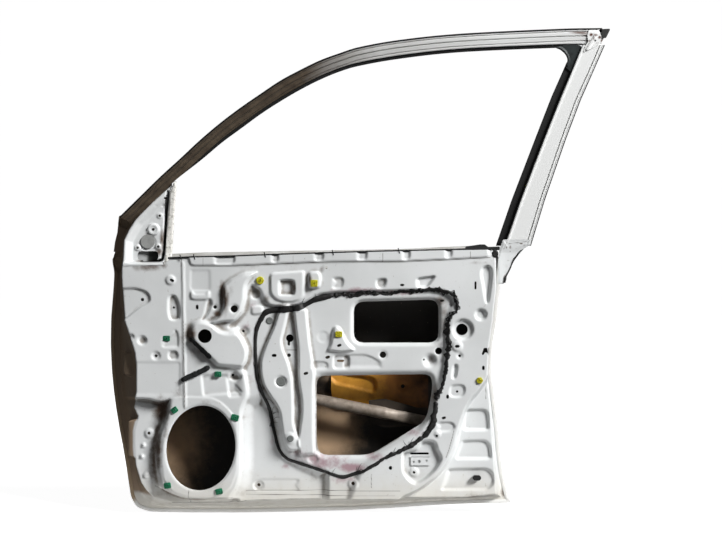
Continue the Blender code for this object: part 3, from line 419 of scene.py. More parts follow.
# A round hole is x, z and radius; a slot is x, z, width, height and its turn in degrees.
ROUND_HOLES = [(208, -110, 16.6), (278, -45, 8.6), (634, -156, 7.8), (768, -147, 8.2), (824, -95, 14.0),
               (361, -74, 7.7), (733, -168, 2.6), (410, -116, 9.1), (56, -23, 4.1), (131, -42, 3.2),
               (89, -158, 3.8), (69, -346, 3.8), (231, -41, 4.3), (273, -205, 3.6), (298, -99, 3.4),
               (498, 54, 3.6), (818, -158, 3.4), (763, -350, 3.4), (709, -439, 3.4), (334, -472, 4.1),
               (562, -465, 4.3), (812, -244, 3.1)]
SLOTS = [(128, 23, 11.6, 6.4, -25), (188, -41, 6.4, 11.6, 0), (373, -157, 11.6, 7.0, 0),
         (529, -133, 11.4, 6.2, 20), (501, -162, 11.6, 6.6, 20), (532, -171, 18.5, 5.4, 0),
         (449, -200, 11.6, 6.6, 15), (680, 12, 10.6, 5.6, 0), (776, -26, 10.6, 5.6, 0),
         (856, 11, 4.8, 20, 0), (812, -135, 12, 6.8, 0), (875, -187, 6, 11, 0),
         (789, -256, 6.4, 10.4, 0), (780, -307, 10.6, 6.2, 15), (652, -427, 8, 9.4, 0),
         (408, -157, 8.8, 8.8, 0), (407.5, -127, 6, 14, 0), (722, -394, 46, 4.8, 0)]
# A seat is its middle's z, its height and depth, its middle's y, its plane's x, and front wall or not.
SEATS = {"upper_hinge": (0.0, 80.0, 50.0, 0.0, 0.0, True),
         "check_strap": (-180.0, 44.0, 40.0, 0.0, 7.0, True),
         "lower_hinge": (-360.0, 80.0, 50.0, 0.0, 17.0, True),
         "latch": (-174.0, 32.0, 40.0, -8.0, 887.0, False)}
SEAT_HOLE = 5.5
SEAT_HOLE_SHARE = 0.27
print("round holes and slots:", len(ROUND_HOLES) + len(SLOTS))

# %% [markdown]
# The bolts of hinges, check strap and latch go through the side walls. The wall is nearly edge-on in
# the grid, so such a hole is squeezed by the wall's slope to come out round on the wall.

# %% Holes in the side walls


def wall_x(z, y, front):
    """X of the front or the rear wall at height z and depth y."""
    face, foot = (FACE_FRONT, FOOT_FRONT) if front else (FACE_REAR, FOOT_REAR)
    share = (y - TRIM_Y) / (FLANGE_Y - TRIM_Y)
    return border(face, z) * (1 - share) + border(foot, z) * share


panel_holes = [SPEAKER_HOLE, UPPER_HOLE, LOWER_HOLE, LATCH_HOLE]
panel_holes += [oval(x, z, r, sides=28) for x, z, r in ROUND_HOLES]
panel_holes += [slot_loop(*values) for values in SLOTS]
for z, tall, deep, y, plane, front in SEATS.values():
    for side in (-1, 1):
        middle = z + side * tall * SEAT_HOLE_SHARE
        squeeze = abs(wall_x(middle, y + 1, front) - wall_x(middle, y, front))
        panel_holes.append(oval(wall_x(middle, y, front), middle, SEAT_HOLE * squeeze, SEAT_HOLE, sides=20))
print("holes:", len(panel_holes))

# %% [markdown]
# Pressed forms. Each one is an outline, a depth and the run of its wall on the left, right, upper and
# lower side. A depth above zero sinks the form away from the cabin, and below zero raises it. The
# light comes from the upper right, so a sunk form has a bright left wall and a raised one a dark left
# wall.

# %% Pressed forms of the trim face
# A form is its outline, its depth, and the runs of its left, right, upper and lower wall.
FORMS = [
    ([(932, -149), (891, -192), (879, -216), (862, -240), (845, -259), (833, -278), (824, -300),
      (816, -324), (809, -348), (804, -372), (797, -391), (788, -410), (773, -430), (756, -449),
      (735, -466), (713, -480), (675, -497), (639, -559), (980, -559)], 34, (20, 20, 20, 20)),
    ([(-16, -262), (44, -259), (75, -260), (99, -269), (113, -264), (126, -258), (125, -274),
      (123, -290), (118, -307), (111, -329), (104, -348), (99, -372), (99, -420), (104, -451),
      (108, -473), (128, -487), (159, -499), (291, -504), (291, -533), (-16, -533)],
     24, (20, 33, 10, 6)),
    ([(317, 17), (334, 10), (346, -2), (353, -22), (363, -34), (399, -38), (435, -31), (459, -19),
      (478, -7), (519, -2), (675, 2), (771, 5), (807, -10), (816, -36), (800, -60), (795, -96),
      (795, -149), (788, -187), (778, -228), (761, -269), (747, -312), (723, -348), (675, -377),
      (627, -403), (584, -444), (560, -504), (543, -559), (257, -559), (262, -504), (281, -468),
      (288, -432), (288, -300), (291, -281), (298, -269), (305, -252), (303, -228), (298, -204),
      (291, -187), (300, -173), (305, -149), (293, -122), (279, -103), (264, -98), (257, -86),
      (276, -72), (296, -53), (302, -24), (305, 0)], 9, (17, 25, 10, 40)),
    ([(298, -259), (291, -281), (288, -300), (288, -432), (281, -468), (257, -499), (257, -559),
      (507, -559), (507, -432), (446, -406), (404, -386), (394, -350), (388, -310), (374, -276),
      (344, -244)], 15, (58, 30, 60, 40)),
    ([(246, 12), (249, -24), (248, -41), (236, -58), (212, -78), (228, -84), (255, -77), (281, -77),
      (298, -55), (308, -24), (310, 12), (322, 31), (339, 46), (303, 48), (267, 31)],
     -12, (13, 17, 26, 8)),
    ([(197, -65), (224, -74), (243, -91), (264, -96), (279, -92), (298, -104), (316, -140), (312, -173),
      (300, -192), (233, -187), (209, -163), (185, -139), (168, -122), (161, -98), (173, -74)],
     -13, (28, 15, 24, 20)),
    ([(171, 52), (222, 52), (223, -2), (171, -2)], 1.5, (3, 14, 14, 3)),
    ([(171, 2), (220, 2), (220, -24), (171, -24)], -4, (2, 6, 38, 3)),
    ([(213, -20), (222, -20), (226, -34), (212, -66), (196, -78), (204, -58)], 5, (3, 7, 4, 14)),
    ([(394, -31), (380, -55), (372, -84), (358, -115), (344, -149), (338, -173), (339, -204),
      (346, -230), (360, -254), (372, -270), (384, -290), (390, -330), (396, -372), (411, -391),
      (435, -386), (435, -362), (430, -341), (422, -324), (421, -252), (419, -211), (410, -173),
      (397, -144), (393, -120), (400, -96), (408, -58), (414, -34)], -11, (6, 9, 8, 10)),
    ([(417, -43), (423, -96), (428, -132), (429, -168), (428, -197), (431, -228), (437, -264),
      (437, -300), (428, -360), (432, -401), (473, -398), (473, -360), (473, -264), (472, -197),
      (468, -168), (462, -132), (458, -96), (453, -43)], -11, (6, 9, 8, 14)),
    ([(149.5, 70), (157.5, 70), (163.5, -284), (155.5, -284)], -2.2, (2, 3, 2, 2)),
    ([(-2, 5), (41, 7), (68, -2), (77, -17), (74, -31), (51, -43), (17, -70), (-7, -82)],
     5, (16, 5, 8, 5)),
    ([(118, -17), (128, -10), (137, -14), (144, -29), (146, -48), (146, -72), (122, -74), (117, -53)],
     7, (6, 4, 4, 4)),
    ([(100, -112), (118, -106), (137, -89), (144, -108), (144, -140), (100, -140)],
     3.5, (24, 4, 14, 10)),
    ([(118, -146), (142, -146), (142, -168), (118, -168)], 5, (4, 3, 3, 3)),
    ([(22, -170), (148, -170), (148, -247), (123, -257), (22, -257)], 1.6, (14, 4, 12, 16)),
    ([(382, 25), (423, 25), (424, -13), (382, -13)], 11, (17, 11, 5, 4)),
    ([(362, 41), (449, 47), (449, -14), (435, -26), (404, -31), (380, -26), (363, -10)],
     -5, (4, 14, 4, 4)),
    ([(453, 44), (483, 46), (488, 24), (483, 2), (454, 5)], -9, (7, 6, 5, 5)),
    ([(509, 31), (540, 31), (539, 10), (531, 2), (509, 2)], 4, (30, 4, 5, 5)),
    ([(616, 26), (645, 29), (639, 5), (618, 2)], 6, (6, 6, 4, 4)),
    ([(711, 28), (764, 35), (742, 5), (713, 5)], 8, (16, 12, 4, 5)),
    ([(512, -91), (521, -85), (533, -89), (543, -108), (552, -127), (572, -146), (536, -151),
      (497, -146), (507, -132), (509, -115)], -8, (8, 13, 6, 6)),
    ([(513, -156), (554, -156), (554, -192), (513, -192)], 5, (6, 5, 4, 8)),
    ([(538, -156), (591, -154), (610, -160), (634, -173), (636, -192), (538, -192)], 3, (4, 26, 4, 20)),
    ([(461, -170), (503, -173), (503, -194), (461, -194)], 3, (4, 6, 4, 14)),
    ([(869, 50), (876, 57), (886, 60), (894, 55), (897, 43), (895, 19), (891, -12), (888, -29),
      (884, -34), (880, -31), (876, -12), (872, 17), (868, 34)], 8, (7, 5, 4, 4)),
    ([(795, -228), (826, -226), (833, -235), (831, -250), (821, -259), (792, -257)], 4, (5, 5, 4, 4)),
    ([(761, -317), (797, -316), (807, -322), (808, -334), (797, -343), (761, -343)], 4, (26, 5, 4, 10)),
    ([(802, -178), (815, -178), (809, -214), (797, -214)], 7, (7, 4, 4, 4)),
    ([(831, -290), (884, -289), (892, -300), (893, -343), (828, -343)], 7, (8, 7, 5, 10)),
    ([(824, -365), (886, -364), (896, -377), (899, -413), (807, -413)], 7, (14, 6, 5, 10)),
    ([(788, -434), (888, -432), (900, -439), (908, -456), (905, -473), (891, -487), (771, -487)],
     7, (26, 10, 5, 7)),
    ([(680, -389), (718, -382), (725, -362), (749, -359), (764, -365), (766, -384), (776, -396),
      (776, -410), (761, -434), (740, -454), (711, -470), (694, -458), (680, -437)], 12, (7, 9, 7, 9)),
    ([(195, -200), (303, -200), (303, -250), (200, -258)], 4, (10, 60, 14, 14)),
    ([(254, -206), (300, -206), (300, -258), (262, -262)], 4, (12, 50, 12, 12)),
    ([(317, -473), (324, -461), (344, -457), (435, -457), (435, -487), (344, -487), (324, -485)],
     2.5, (6, 30, 3, 3)),
    ([(128, -257), (156, -254), (224, -257), (248, -269), (269, -290), (286, -314), (286, -432),
      (272, -473), (248, -494), (171, -499), (128, -485), (106, -456), (101, -408), (104, -360),
      (116, -312)], -2, (4, 4, 5, 4)),
    ([(315, 2), (341, 5), (344, -14), (332, -24), (315, -22)], 4, (9, 5, 4, 5)),
    ([(316, -38), (348, -37), (348, -58), (317, -62)], -4, (4, 10, 4, 6)),
]
ROUND_DEPTH = 1.3
# A round form is x, z, radius, depth and run; ROUND_DEPTH deepens them all alike.
ROUND_FORMS = [(826, -95, 27, 6, 7), (869, -59, 15, 6, 4.5), (747, -170, 20, 8, 17),
               (124, 24, 13, -2.5, 4), (56, -121, 13.5, 4.5, 9), (29, -112, 9, 3, 6),
               (89, -158, 12.5, 2.5, 6), (812, -135, 15, -2.5, 6), (818, -158, 9, 2, 5),
               (276, -206, 15, 5, 9), (300, -100, 14, 3, 7), (70, -347, 14, -3, 6),
               (56, -376, 7.5, -4, 6), (52, -403, 7.5, -4, 6), (62, -449, 9.5, -3, 5),
               (562, -466, 13.5, -2.5, 4), (334, -473, 13.5, 2, 5), (765, -346, 9, -2, 4),
               (231, -41, 7, 1.6, 3), (709, -439, 13, -2.5, 5), (466, -408, 14, 2.5, 6),
               (412, -356, 16, -3, 6), (389, -220, 15, 3, 4), (634, -156, 12, 1.5, 5),
               (769, -147, 12, 1.5, 5), (490, -113, 16, 1, 6), (278, -45, 13, 2, 5)]
# The raised band along the belt, and the notches that cross it.
BELT_BAND = [(171, 58), (279, 58), (418, 64), (507, 67), (675, 68), (771, 72), (891, 78)]
BELT_NOTCHES = [(226, 279), (363, 384), (466, 492), (569, 596), (677, 699), (780, 800)]
FORMS.append(([(20, 140), (150, 140), *BELT_BAND, (880, 140), (898, 200), (20, 200)], -4, (4, 4, 4, 3)))
for start, end in BELT_NOTCHES:
    foot = np.interp(start, *np.array(BELT_BAND).T) + 4
    FORMS.append(([(start, 140), (end, 140), (end, foot), (start, foot)], 4, (17, 4, 4, 3)))
# A lip is its hole, how far it turns in, and its width.
LIPS = [(SPEAKER_HOLE, 3.0, 6.0), (UPPER_HOLE, 8.0, 10.0), (LOWER_HOLE, 9.0, 13.0)]
WALL_STEEPNESS = 0.62
WALL_REACH = 90.0
SEAT_FADE = 9.0
SEAT_ONSET = 12.0
FRONT_PART_END = 200.0
REAR_PART_START = 700.0
print("forms:", len(FORMS) + len(ROUND_FORMS))

# %% [markdown]
# All forms are added up in one function of x and z, and another gives the panel's surface anywhere, so
# that clips, sealer and foam can be laid on it later.

# %% Depth of the pressed panel


def pressed(x, z, outline, depth, runs, corner=9.0):
    """The depth times the soft step of distance over run; the run changes with the nearest wall's side."""
    inside, to_x, to_z = edge_distance(rounded(outline, corner, 3), x, z)
    span = np.maximum(np.hypot(x - to_x, z - to_z), 1e-6)
    across, upright = (x - to_x) / span, (z - to_z) / span
    left, right, top, bottom = runs
    run = np.where(across > 0, left, right) * across**2 + np.where(upright < 0, top, bottom) * upright**2
    return depth * soft_step(inside / np.maximum(WALL_STEEPNESS * run, 1e-6))


def wall_share(x, z):
    """0 on the trim face, 1 on the flange, and between them the share of the way across the wall."""
    off_face = np.maximum(-edge_distance(FACE, x, z, WALL_REACH)[0], 0)
    on_foot = np.maximum(edge_distance(FOOT, x, z, WALL_REACH)[0], 0)
    return off_face / np.maximum(off_face + on_foot, 1e-6)


def trim_face_depth(x, z):
    """Y of the trim face: its plane, each form, and lips that turn in as (1 - distance / width)^2."""
    y = np.full(x.shape, TRIM_Y)
    for outline, depth, runs in FORMS:
        y += pressed(x, z, outline, depth, runs)
    for cx, cz, r, depth, run in ROUND_FORMS:
        y += ROUND_DEPTH * depth * soft_step((r - np.hypot(x - cx, z - cz)) / run)
    for hole, depth, width in LIPS:
        off = np.maximum(-edge_distance(hole, x, z)[0], 0)
        y += depth * np.clip(1 - off / width, 0, 1) ** 2
    return y


def surface_y(x, z):
    """Y of the inner panel's cabin side at any point, for the pieces that lie on it."""
    share = wall_share(x, z)
    return trim_face_depth(x, z) * (1 - share) + FLANGE_Y * share


def seat_blend(x, y, z, on_wall):
    """Brings the walls to the flat seats of hinges, check strap and latch; the trim face stays."""
    for middle, tall, deep, y_middle, plane, front in SEATS.values():
        off = np.maximum(np.abs(z - middle) - tall / 2, np.abs(y - y_middle) - deep / 2)
        near_wall = (x < FRONT_PART_END) if front else (x > REAR_PART_START)
        share = soft_step(1 - off / SEAT_FADE) * near_wall * np.clip(on_wall * SEAT_ONSET, 0, 1)
        x = x + (plane - x) * share
    return x


print("y beside the speaker:", surface_y(np.array([330.0]), np.array([-379.0]))[0].round(1))

# %% [markdown]
# Wear is not spread by chance: brown water stains sit in the corners and under the mirror, a pinkish
# film is left where the sealer was pulled off, and thin lines mark where sheets are joined. Some brown
# marks on walls turned from the light and some dark lines under steps are painted shade. Each is a
# number stored on the mesh, which the paint reads.

# %% Stains and painted shade, sealer film and sheet joints
# A place is x, z, its reach along x and z, and its strength.
# Most places are water stains; those on walls turned from the light, beside the speaker and round the raised
# forms, are painted shade.
STAINS_AND_SHADE = [(99, -293, 24, 38, 1.0), (92, -384, 14, 72, 0.9), (80, -420, 14, 60, 0.8),
          (70, 55, 43, 12, 0.7), (250, -8, 11, 30, 1.0), (238, -58, 14, 10, 1.0),
          (172, -104, 16, 26, 1.0), (421, 6, 5, 16, 0.9), (459, 24, 5, 18, 0.7),
          (112, -330, 12, 40, 0.5), (60, 78, 50, 6, 0.6), (108, 60, 10, 12, 0.7), (20, 60, 14, 10, 0.5),
          (171, -101, 17, 29, 0.8), (185, -144, 24, 14, 0.5), (257, -29, 10, 34, 0.8),
          (228, -67, 14, 10, 0.6), (154, -120, 12, 24, 0.5), (147, -250, 22, 17, 0.5),
          (214, -269, 38, 10, 0.4), (353, -24, 12, 19, 0.6), (399, -36, 38, 7, 0.5),
          (488, 50, 10, 14, 0.6), (780, -72, 12, 60, 0.6), (771, -26, 19, 14, 0.8),
          (752, -166, 14, 17, 0.6), (761, -252, 12, 36, 0.6), (771, -132, 12, 10, 0.4),
          (867, 65, 53, 7, 0.35), (195, -523, 216, 14, 0.35), (675, -516, 264, 12, 0.35),
          (867, -504, 72, 14, 0.5), (934, -499, 12, 17, 0.8), (464, -451, 14, 34, 0.3),
          (118, -492, 43, 14, 0.4), (272, -2, 19, 24, 0.25)]
FILM = [(488, -413, 67, 22, 0.8), (555, -427, 38, 14, 1.0), (543, -456, 29, 10, 0.7),
        (435, -396, 29, 19, 0.5), (615, -403, 34, 14, 0.7), (399, -427, 14, 10, 0.5),
        (579, -2, 72, 10, 0.7), (675, -7, 48, 10, 0.6), (303, -89, 14, 12, 0.5),
        (320, -43, 14, 24, 0.3), (320, -192, 10, 43, 0.3), (365, -372, 7, 48, 0.3),
        (704, -341, 38, 19, 0.5)]
# Most lines are sheet joints; the one along the belt band's lower edge and the one on the face's lower
# border are painted shade under a step.
SEAMS_AND_SHADE_LINES = [[(150, 74), (152, 0), (155, -84), (156, -168), (158, -228), (158, -286)],
          [(168, -480), (167, -504), (171, -514)],
          [(82, -473), (111, -487), (135, -497), (171, -502), (231, -499), (272, -500)],
          [(303, -485), (411, -485), (531, -482), (675, -482)],
          [(303, -494), (435, -496), (579, -494), (663, -494)],
          [(125, -514), (219, -514), (286, -514), (305, -509), (435, -505), (651, -504), (771, -508),
           (915, -500)],
          [(606, -442), (606, -475)], [(401, -144), (428, -144)], [(884, -235), (884, -264)],
          [(804, -338), (800, -355), (792, -384), (785, -403)], BELT_BAND,
          [(150, 76), (150, 56)], [(203, 76), (203, 58)], [(418, 82), (418, 64)], [(633, 88), (633, 68)],
          [(843, 92), (843, 76)]]


def clouded(x, z, places):
    """The largest of the places' bells: strength times exp(-((x - cx) / rx)^2 - ((z - cz) / rz)^2)."""
    value = np.zeros(x.shape)
    for cx, cz, rx, rz, strength in places:
        value = np.maximum(value, strength * np.exp(-((x - cx) / rx) ** 2 - ((z - cz) / rz) ** 2))
    return value


def lined(x, z, lines, width):
    """1 on any of the open lines, falling to 0 at half the width beside it."""
    value = np.zeros(x.shape)
    for line in lines:
        there_and_back = np.vstack([line, line[::-1]])
        value = np.maximum(value, 1 - np.abs(edge_distance(there_and_back, x, z, 10.0)[0]) / (width / 2))
    return np.clip(value, 0, 1)


print("stains:", len(STAINS_AND_SHADE), "films:", len(FILM), "joints:", len(SEAMS_AND_SHADE_LINES))

# %% [markdown]
# With the forms added up, the panel is one grid of points, cut by its holes and split into four
# pieces so that none is heavy. The hollow of a point, its depth against the average round it, tells
# the paint where to darken it, partly as dirt and partly as painted shade in the recesses.

# %% The inner panel
PANEL_PARTS = ["inner_panel_hinge_side", "inner_panel_front_middle", "inner_panel_rear_middle",
               "inner_panel_rear_side"]
PANEL_CUTS = (116, 233, 350)
ON_EDGE = -1e-6
HOLLOW_BLUR = 30
HOLLOW_LIMITS = (-3, 3.5)
HOLLOW_FADE_X = 720.0
HINGE_WALL_END = 120.0
WALL_DARK_BOTTOM = -512.0
SEAM_AND_SHADE_LINE_WIDTH = 3.6
# Below this height the paint is made darker and warmer.
LOWER_TONE_TOP = -370.0
LOWER_TONE_RUN = 170.0
panel_x, panel_z, panel_depth = pull_to_cuts(panel_x, panel_z, PANEL_EDGE, panel_holes)
share = wall_share(panel_x, panel_z)
panel_y = trim_face_depth(panel_x, panel_z) * (1 - share) + FLANGE_Y * share
panel_y = blurred(panel_y, 1)
grid = np.stack([seat_blend(panel_x, panel_y, panel_z, share), panel_y, panel_z], axis=-1)
off_wall = soft_step(1 - share * 25) * soft_step((HOLLOW_FADE_X - panel_x) / 60)
# The hinge-side wall faces away from the light; its brown is painted shade.
hinge_wall = soft_step(share * 30) * (panel_x < HINGE_WALL_END)
# hollow darkens recesses, partly as dirt and partly as painted shade; it fades out on the walls and to the
# rear.
panel_marks = {"hollow": np.clip(panel_y - blurred(panel_y, HOLLOW_BLUR), *HOLLOW_LIMITS) * off_wall,
               "painted_shade_wall": hinge_wall * soft_step((panel_z - WALL_DARK_BOTTOM) / 30),
               "stain_and_shade": clouded(panel_x, panel_z, STAINS_AND_SHADE), "film": clouded(panel_x, panel_z, FILM),
               "seam_and_shade_line": lined(panel_x, panel_z, SEAMS_AND_SHADE_LINES, SEAM_AND_SHADE_LINE_WIDTH),
               "lower_tone": soft_step((LOWER_TONE_TOP - panel_z) / LOWER_TONE_RUN)}
inner_pieces = sheet_pieces(PANEL_PARTS, grid, panel_depth > ON_EDGE, INNER_SHEET, "door_paint",
                            ["inner_panel"], PANEL_CUTS, panel_marks)

# %% [markdown]
# The skin closes the door on the outside. It is a softly bulged sheet whose edge is folded round the
# inner panel's flange: that fold, the hem, is the narrow strip that frames the inner panel.

# %% The skin
SKIN_BULGE = 34.0
SKIN_RISE = 150.0
HANDLE_DISH = (800.0, 20.0, 62.0, 30.0)
HANDLE_DEPTH = 14.0
HANDLE_RUN = 14.0
HANDLE_HOLES = [(-34, 7, 20), (34, 9, 24)]
SKIN_LOOP = np.array(SKIN_EDGE + SKIN_BELT, float)
SKIN_STEP = 4.0
# Painted light: tan patches on the skin's inner side where light falls in through the holes.
PAINTED_LIGHT_INSIDE = [(500, -350, 70, 70, 1.0), (120, -380, 75, 110, 0.7), (545, -210, 60, 50, 0.5),
              (430, -480, 120, 60, 0.6)]
skin_y = FLANGE_Y + INNER_SHEET + GAP


def skin_depth(x, z):
    """Y of the skin's inner side: flat along the hem, bulging as 1 - (1 - s)^2, less the handle's dish."""
    s = np.clip((edge_distance(SKIN_LOOP, x, z, 400.0)[0] - HEM - 4) / SKIN_RISE, 0, 1)
    y = skin_y + SKIN_BULGE * (1 - (1 - s) ** 2)
    cx, cz, rx, rz = HANDLE_DISH
    return y - HANDLE_DEPTH * soft_step(edge_distance(oval(cx, cz, rx, rz), x, z)[0] / HANDLE_RUN)


low, high = SKIN_LOOP.min(axis=0), SKIN_LOOP.max(axis=0)
skin_x, skin_z = np.meshgrid(np.arange(low[0] - 1, high[0] + SKIN_STEP, SKIN_STEP),
                             np.arange(low[1] - 1, high[1] + SKIN_STEP, SKIN_STEP))
handle_x, handle_z = HANDLE_DISH[:2]
skin_holes = [oval(handle_x + off, handle_z, radius, sides=sides) for off, radius, sides in HANDLE_HOLES]
skin_x, skin_z, skin_inside = pull_to_cuts(skin_x, skin_z, inset(SKIN_LOOP, 1.0), skin_holes)
skin_grid = np.stack([skin_x, blurred(skin_depth(skin_x, skin_z), 1), skin_z], axis=-1)
skin = sheet_pieces(["outer_panel_skin"], skin_grid, skin_inside > ON_EDGE, SKIN_SHEET, "door_paint",
                    ["outer_panel"])[0]
skin_points = np.array([point.co for point in skin.data.vertices]) / MM
on_inside = np.arange(len(skin_points)) < len(skin_points) // 2
paint_values(skin, "painted_light_patch", clouded(skin_points[:, 0], skin_points[:, 2], PAINTED_LIGHT_INSIDE) * on_inside)
print("skin points on the cabin side:", int(on_inside.sum()))

# %% [markdown]
# Hem, sash, rubber, sealer and tube are all one thing: a profile carried along a path. The rings of the
# profile are worked out as one array, and a small helper closes the ends and turns the faces out.

# %% Profiles carried along a path


def carried(name, stations, replaces, closed=False):
    """A profile carried along a path: stations is an array of rings, one for each step of the path."""
    stations = np.asarray(stations, float)
    steps, count = stations.shape[:2]
    number = np.arange(steps * count).reshape(steps, count)
    ahead = np.roll(number, -1, axis=0) if closed else number[1:]
    here = number if closed else number[:-1]
    faces = np.stack([here, np.roll(here, -1, axis=1), np.roll(ahead, -1, axis=1), ahead], axis=-1)
    piece = build(name, stations.reshape(-1, 3), [faces.reshape(-1, 4)], replaces)
    if not closed:
        close_ends(piece, number[0], number[-1])
    turn_out(piece)
    return piece


def close_ends(piece, first, last):
    """Fills the two end rings of a carried profile."""
    work = bmesh.new()
    work.from_mesh(piece.data)
    work.verts.ensure_lookup_table()
    for ring in (first, last):
        work.faces.new([work.verts[i] for i in ring])
    bmesh.ops.triangulate(work, faces=[f for f in work.faces if len(f.verts) > 4])
    work.to_mesh(piece.data)
    work.free()


def turn_out(piece, crease=35.0):
    """Turns every face outwards and keeps edges sharper than the crease angle hard."""
    work = bmesh.new()
    work.from_mesh(piece.data)
    bmesh.ops.recalc_face_normals(work, faces=work.faces)
    work.to_mesh(piece.data)
    work.free()
    piece.data.polygons.foreach_set("use_smooth", np.ones(len(piece.data.polygons), bool))
    piece.data.set_sharp_from_angle(angle=np.radians(crease))


def spaced(line, step, closed=False):
    """The line cut again at even steps of its length."""
    line = np.asarray(line, float)
    if closed:
        line = np.vstack([line, line[:1]])
    run = np.concatenate([[0], np.cumsum(np.linalg.norm(np.diff(line, axis=0), axis=1))])
    count = max(int(run[-1] / step), 2)
    at = np.linspace(0, run[-1], count + 1)[:-1 if closed else None]
    return np.stack([np.interp(at, run, line[:, k]) for k in range(line.shape[1])], axis=1)


print("steps of 6 mm in 60 mm:", len(spaced([(0, 0), (60, 0)], 6.0)) - 1)

# %% [markdown]
# The hem is drawn as its own piece, a hook-shaped profile carried round the skin's outline, because the
# fold is tighter than the skin's grid could show.

# %% The hem
HEM_PROFILE = [(7, 0.0), (1.2, 0.0), (0.5, -0.3), (0.1, -0.9), (0, -1.6), (0.1, -2.4), (0.5, -2.9),
               (1.2, -3.2), (8.4, -3.2), (9, -2.8), (8.4, -2.4), (1.9, -2.4), (1.3, -2.1), (1.1, -1.6),
               (1.3, -1.0), (1.9, -0.8), (7, -0.8)]
hem_line = spaced(rounded(SKIN_LOOP, 10), 6.0, closed=True)
along = np.roll(hem_line, -1, axis=0) - np.roll(hem_line, 1, axis=0)
along /= np.linalg.norm(along, axis=1, keepdims=True)
inwards = np.stack([-along[:, 1], along[:, 0]], axis=1)
u, v = np.array(HEM_PROFILE).T
hem_x = hem_line[:, None, 0] + inwards[:, None, 0] * u
hem_z = hem_line[:, None, 1] + inwards[:, None, 1] * u
hem = np.stack([hem_x, skin_y + SKIN_SHEET + 0 * hem_x + v, hem_z], axis=-1)
hem_piece = carried("outer_panel_hem", hem, ["outer_panel"], closed=True)
# The hem is painted brown at the front as shade, like the hinge wall beside it.
hem_painted_shade = soft_step((40 - hem[..., 0]) / 20) * soft_step((hem[..., 2] + 540) / 40)
paint_values(hem_piece, "painted_shade_wall", hem_painted_shade.ravel())
print("hem stations:", len(hem_line))

# %% [markdown]
# The window frame is roll-formed: one profile with stepped bands runs up the front, over the roof
# line and down the rear. The profile is drawn across the sash, from the outer edge to the inner edge,
# and carried along both edges. The third number of a profile point says how dark the paint is made
# there: 1 on the black outer lip, and a half in a groove, where the grey is painted shade.

# %% Lines and profiles of the window frame
SASH_Y = -8.0
LEAN = 0.19
BELT_Z = 90.0
CHANNEL = 11.0
INNER_TRIM = 2.5
RUN_HEADER_WIDTH = 5.5
RUN_REAR_WIDTH = 20.0
RUN_HEADER_SPAN = (131.0, 1060.0)
RUN_REAR_TOP = 546.0
HEADER_OUTER = [(-3, 177), (49, 226), (98, 272), (147, 315), (196, 359), (245, 399), (293, 434),
                (341, 466), (389, 497), (437, 522), (484, 544), (532, 561), (579, 575), (673, 591),
                (814, 605), (1043, 616), (1149, 618)]
HEADER_INNER = [(16, 147), (30, 172), (50, 194), (73, 216), (112, 252), (139, 274), (196, 317),
                (244, 356), (293, 391), (341, 425), (389, 455), (437, 482), (484, 505), (532, 524),
                (579, 537), (673, 553), (815, 568), (1043, 578), (1149, 579)]
REAR_OUTER = [(1157, 578.6), (1145, 550), (1131, 516), (1104, 452), (1071, 359), (1025, 217),
              (994, 107)]
REAR_INNER = [(1104, 578.6), (1090, 544), (1078, 513.5), (1056, 459), (1018, 359), (966, 217),
              (930, 107)]
HEADER_FACE = [(0, 4, 1), (0.6, 1.4, 1), (1.8, 0.2, 1), (4.6, 0, 1), (5, 0.4, 0), (6.4, 0.4, 0),
               (7.4, 2.2, 0.5), (9, 2.2, 0.5), (10.2, 0.3, 0), (16.6, 0.8, 0), (17.6, 3.4, 0.5),
               (19.2, 3.4, 0.5), (20.4, 1.2, 0), (28, 2.2, 0), (29, 4.2, 0.45), (30.4, 4.2, 0.45),
               (31.4, 2.4, 0), (-2.4, 2.4, 0), (-0.6, 3.2, 0)]
SASH_STAINS = [(1098, 607, 26, 1.8, 0.9), (1112, 600, 14, 1.6, 0.8), (1104, 590, 12, 5, 0.35)]
REAR_FACE = [(0, 4, 1), (0.4, 1.2, 1), (1.6, 0.2, 1), (2.8, 0, 0.9), (3.2, 0.2, 0), (5, 0.2, 0),
             (5.8, 0.9, 0.3), (7, 0.9, 0.3), (7.6, 0.2, 0), (10.4, 0.2, 0), (11.2, 2.4, 0.7),
             (13, 2.4, 0.7), (13.8, 0.4, 0), (-7, 1, 0), (-6, -0.6, 0), (-2, -0.6, 0), (-0.6, 0.6, 0)]
CHANNEL_PROFILE = [(-0.4, 7.2, 0), (-1.2, 7.6, 0), (-CHANNEL, 7.6, 0), (-CHANNEL, 20.6, 0),
                   (-0.001, 20.6, 0), (-0.001, 22, 0), (3, 22, 0), (0.6, 20.8, 0), (0, 19, 0)]
RUN_PROFILE = [(0.6, 8.0, 0), (-0.4, 7.0, 0), (-0.001, 7.6, 0), (-0.001, 9.4, 0), (-0.5, 10.0, 0),
               (2.8, 10.4, 0), (2.8, 18.2, 0), (-0.5, 18.6, 0), (-0.001, 19.2, 0), (-0.001, 20.0, 0),
               (-0.4, 20.4, 0), (0.6, 20.4, 0)]
print("profile points of header and rear sash:", len(HEADER_FACE), len(REAR_FACE))

# %% [markdown]
# Both sashes are made by one function. Every station of the path has the profile's width measured
# between the sash's two edges, so the header can widen towards the front without a new profile.

# %% Sashes and glass run


def leaning_y(z):
    """Y of the frame's cabin side, which leans in above the belt."""
    return SASH_Y - LEAN * np.maximum(0.0, z - BELT_Z)


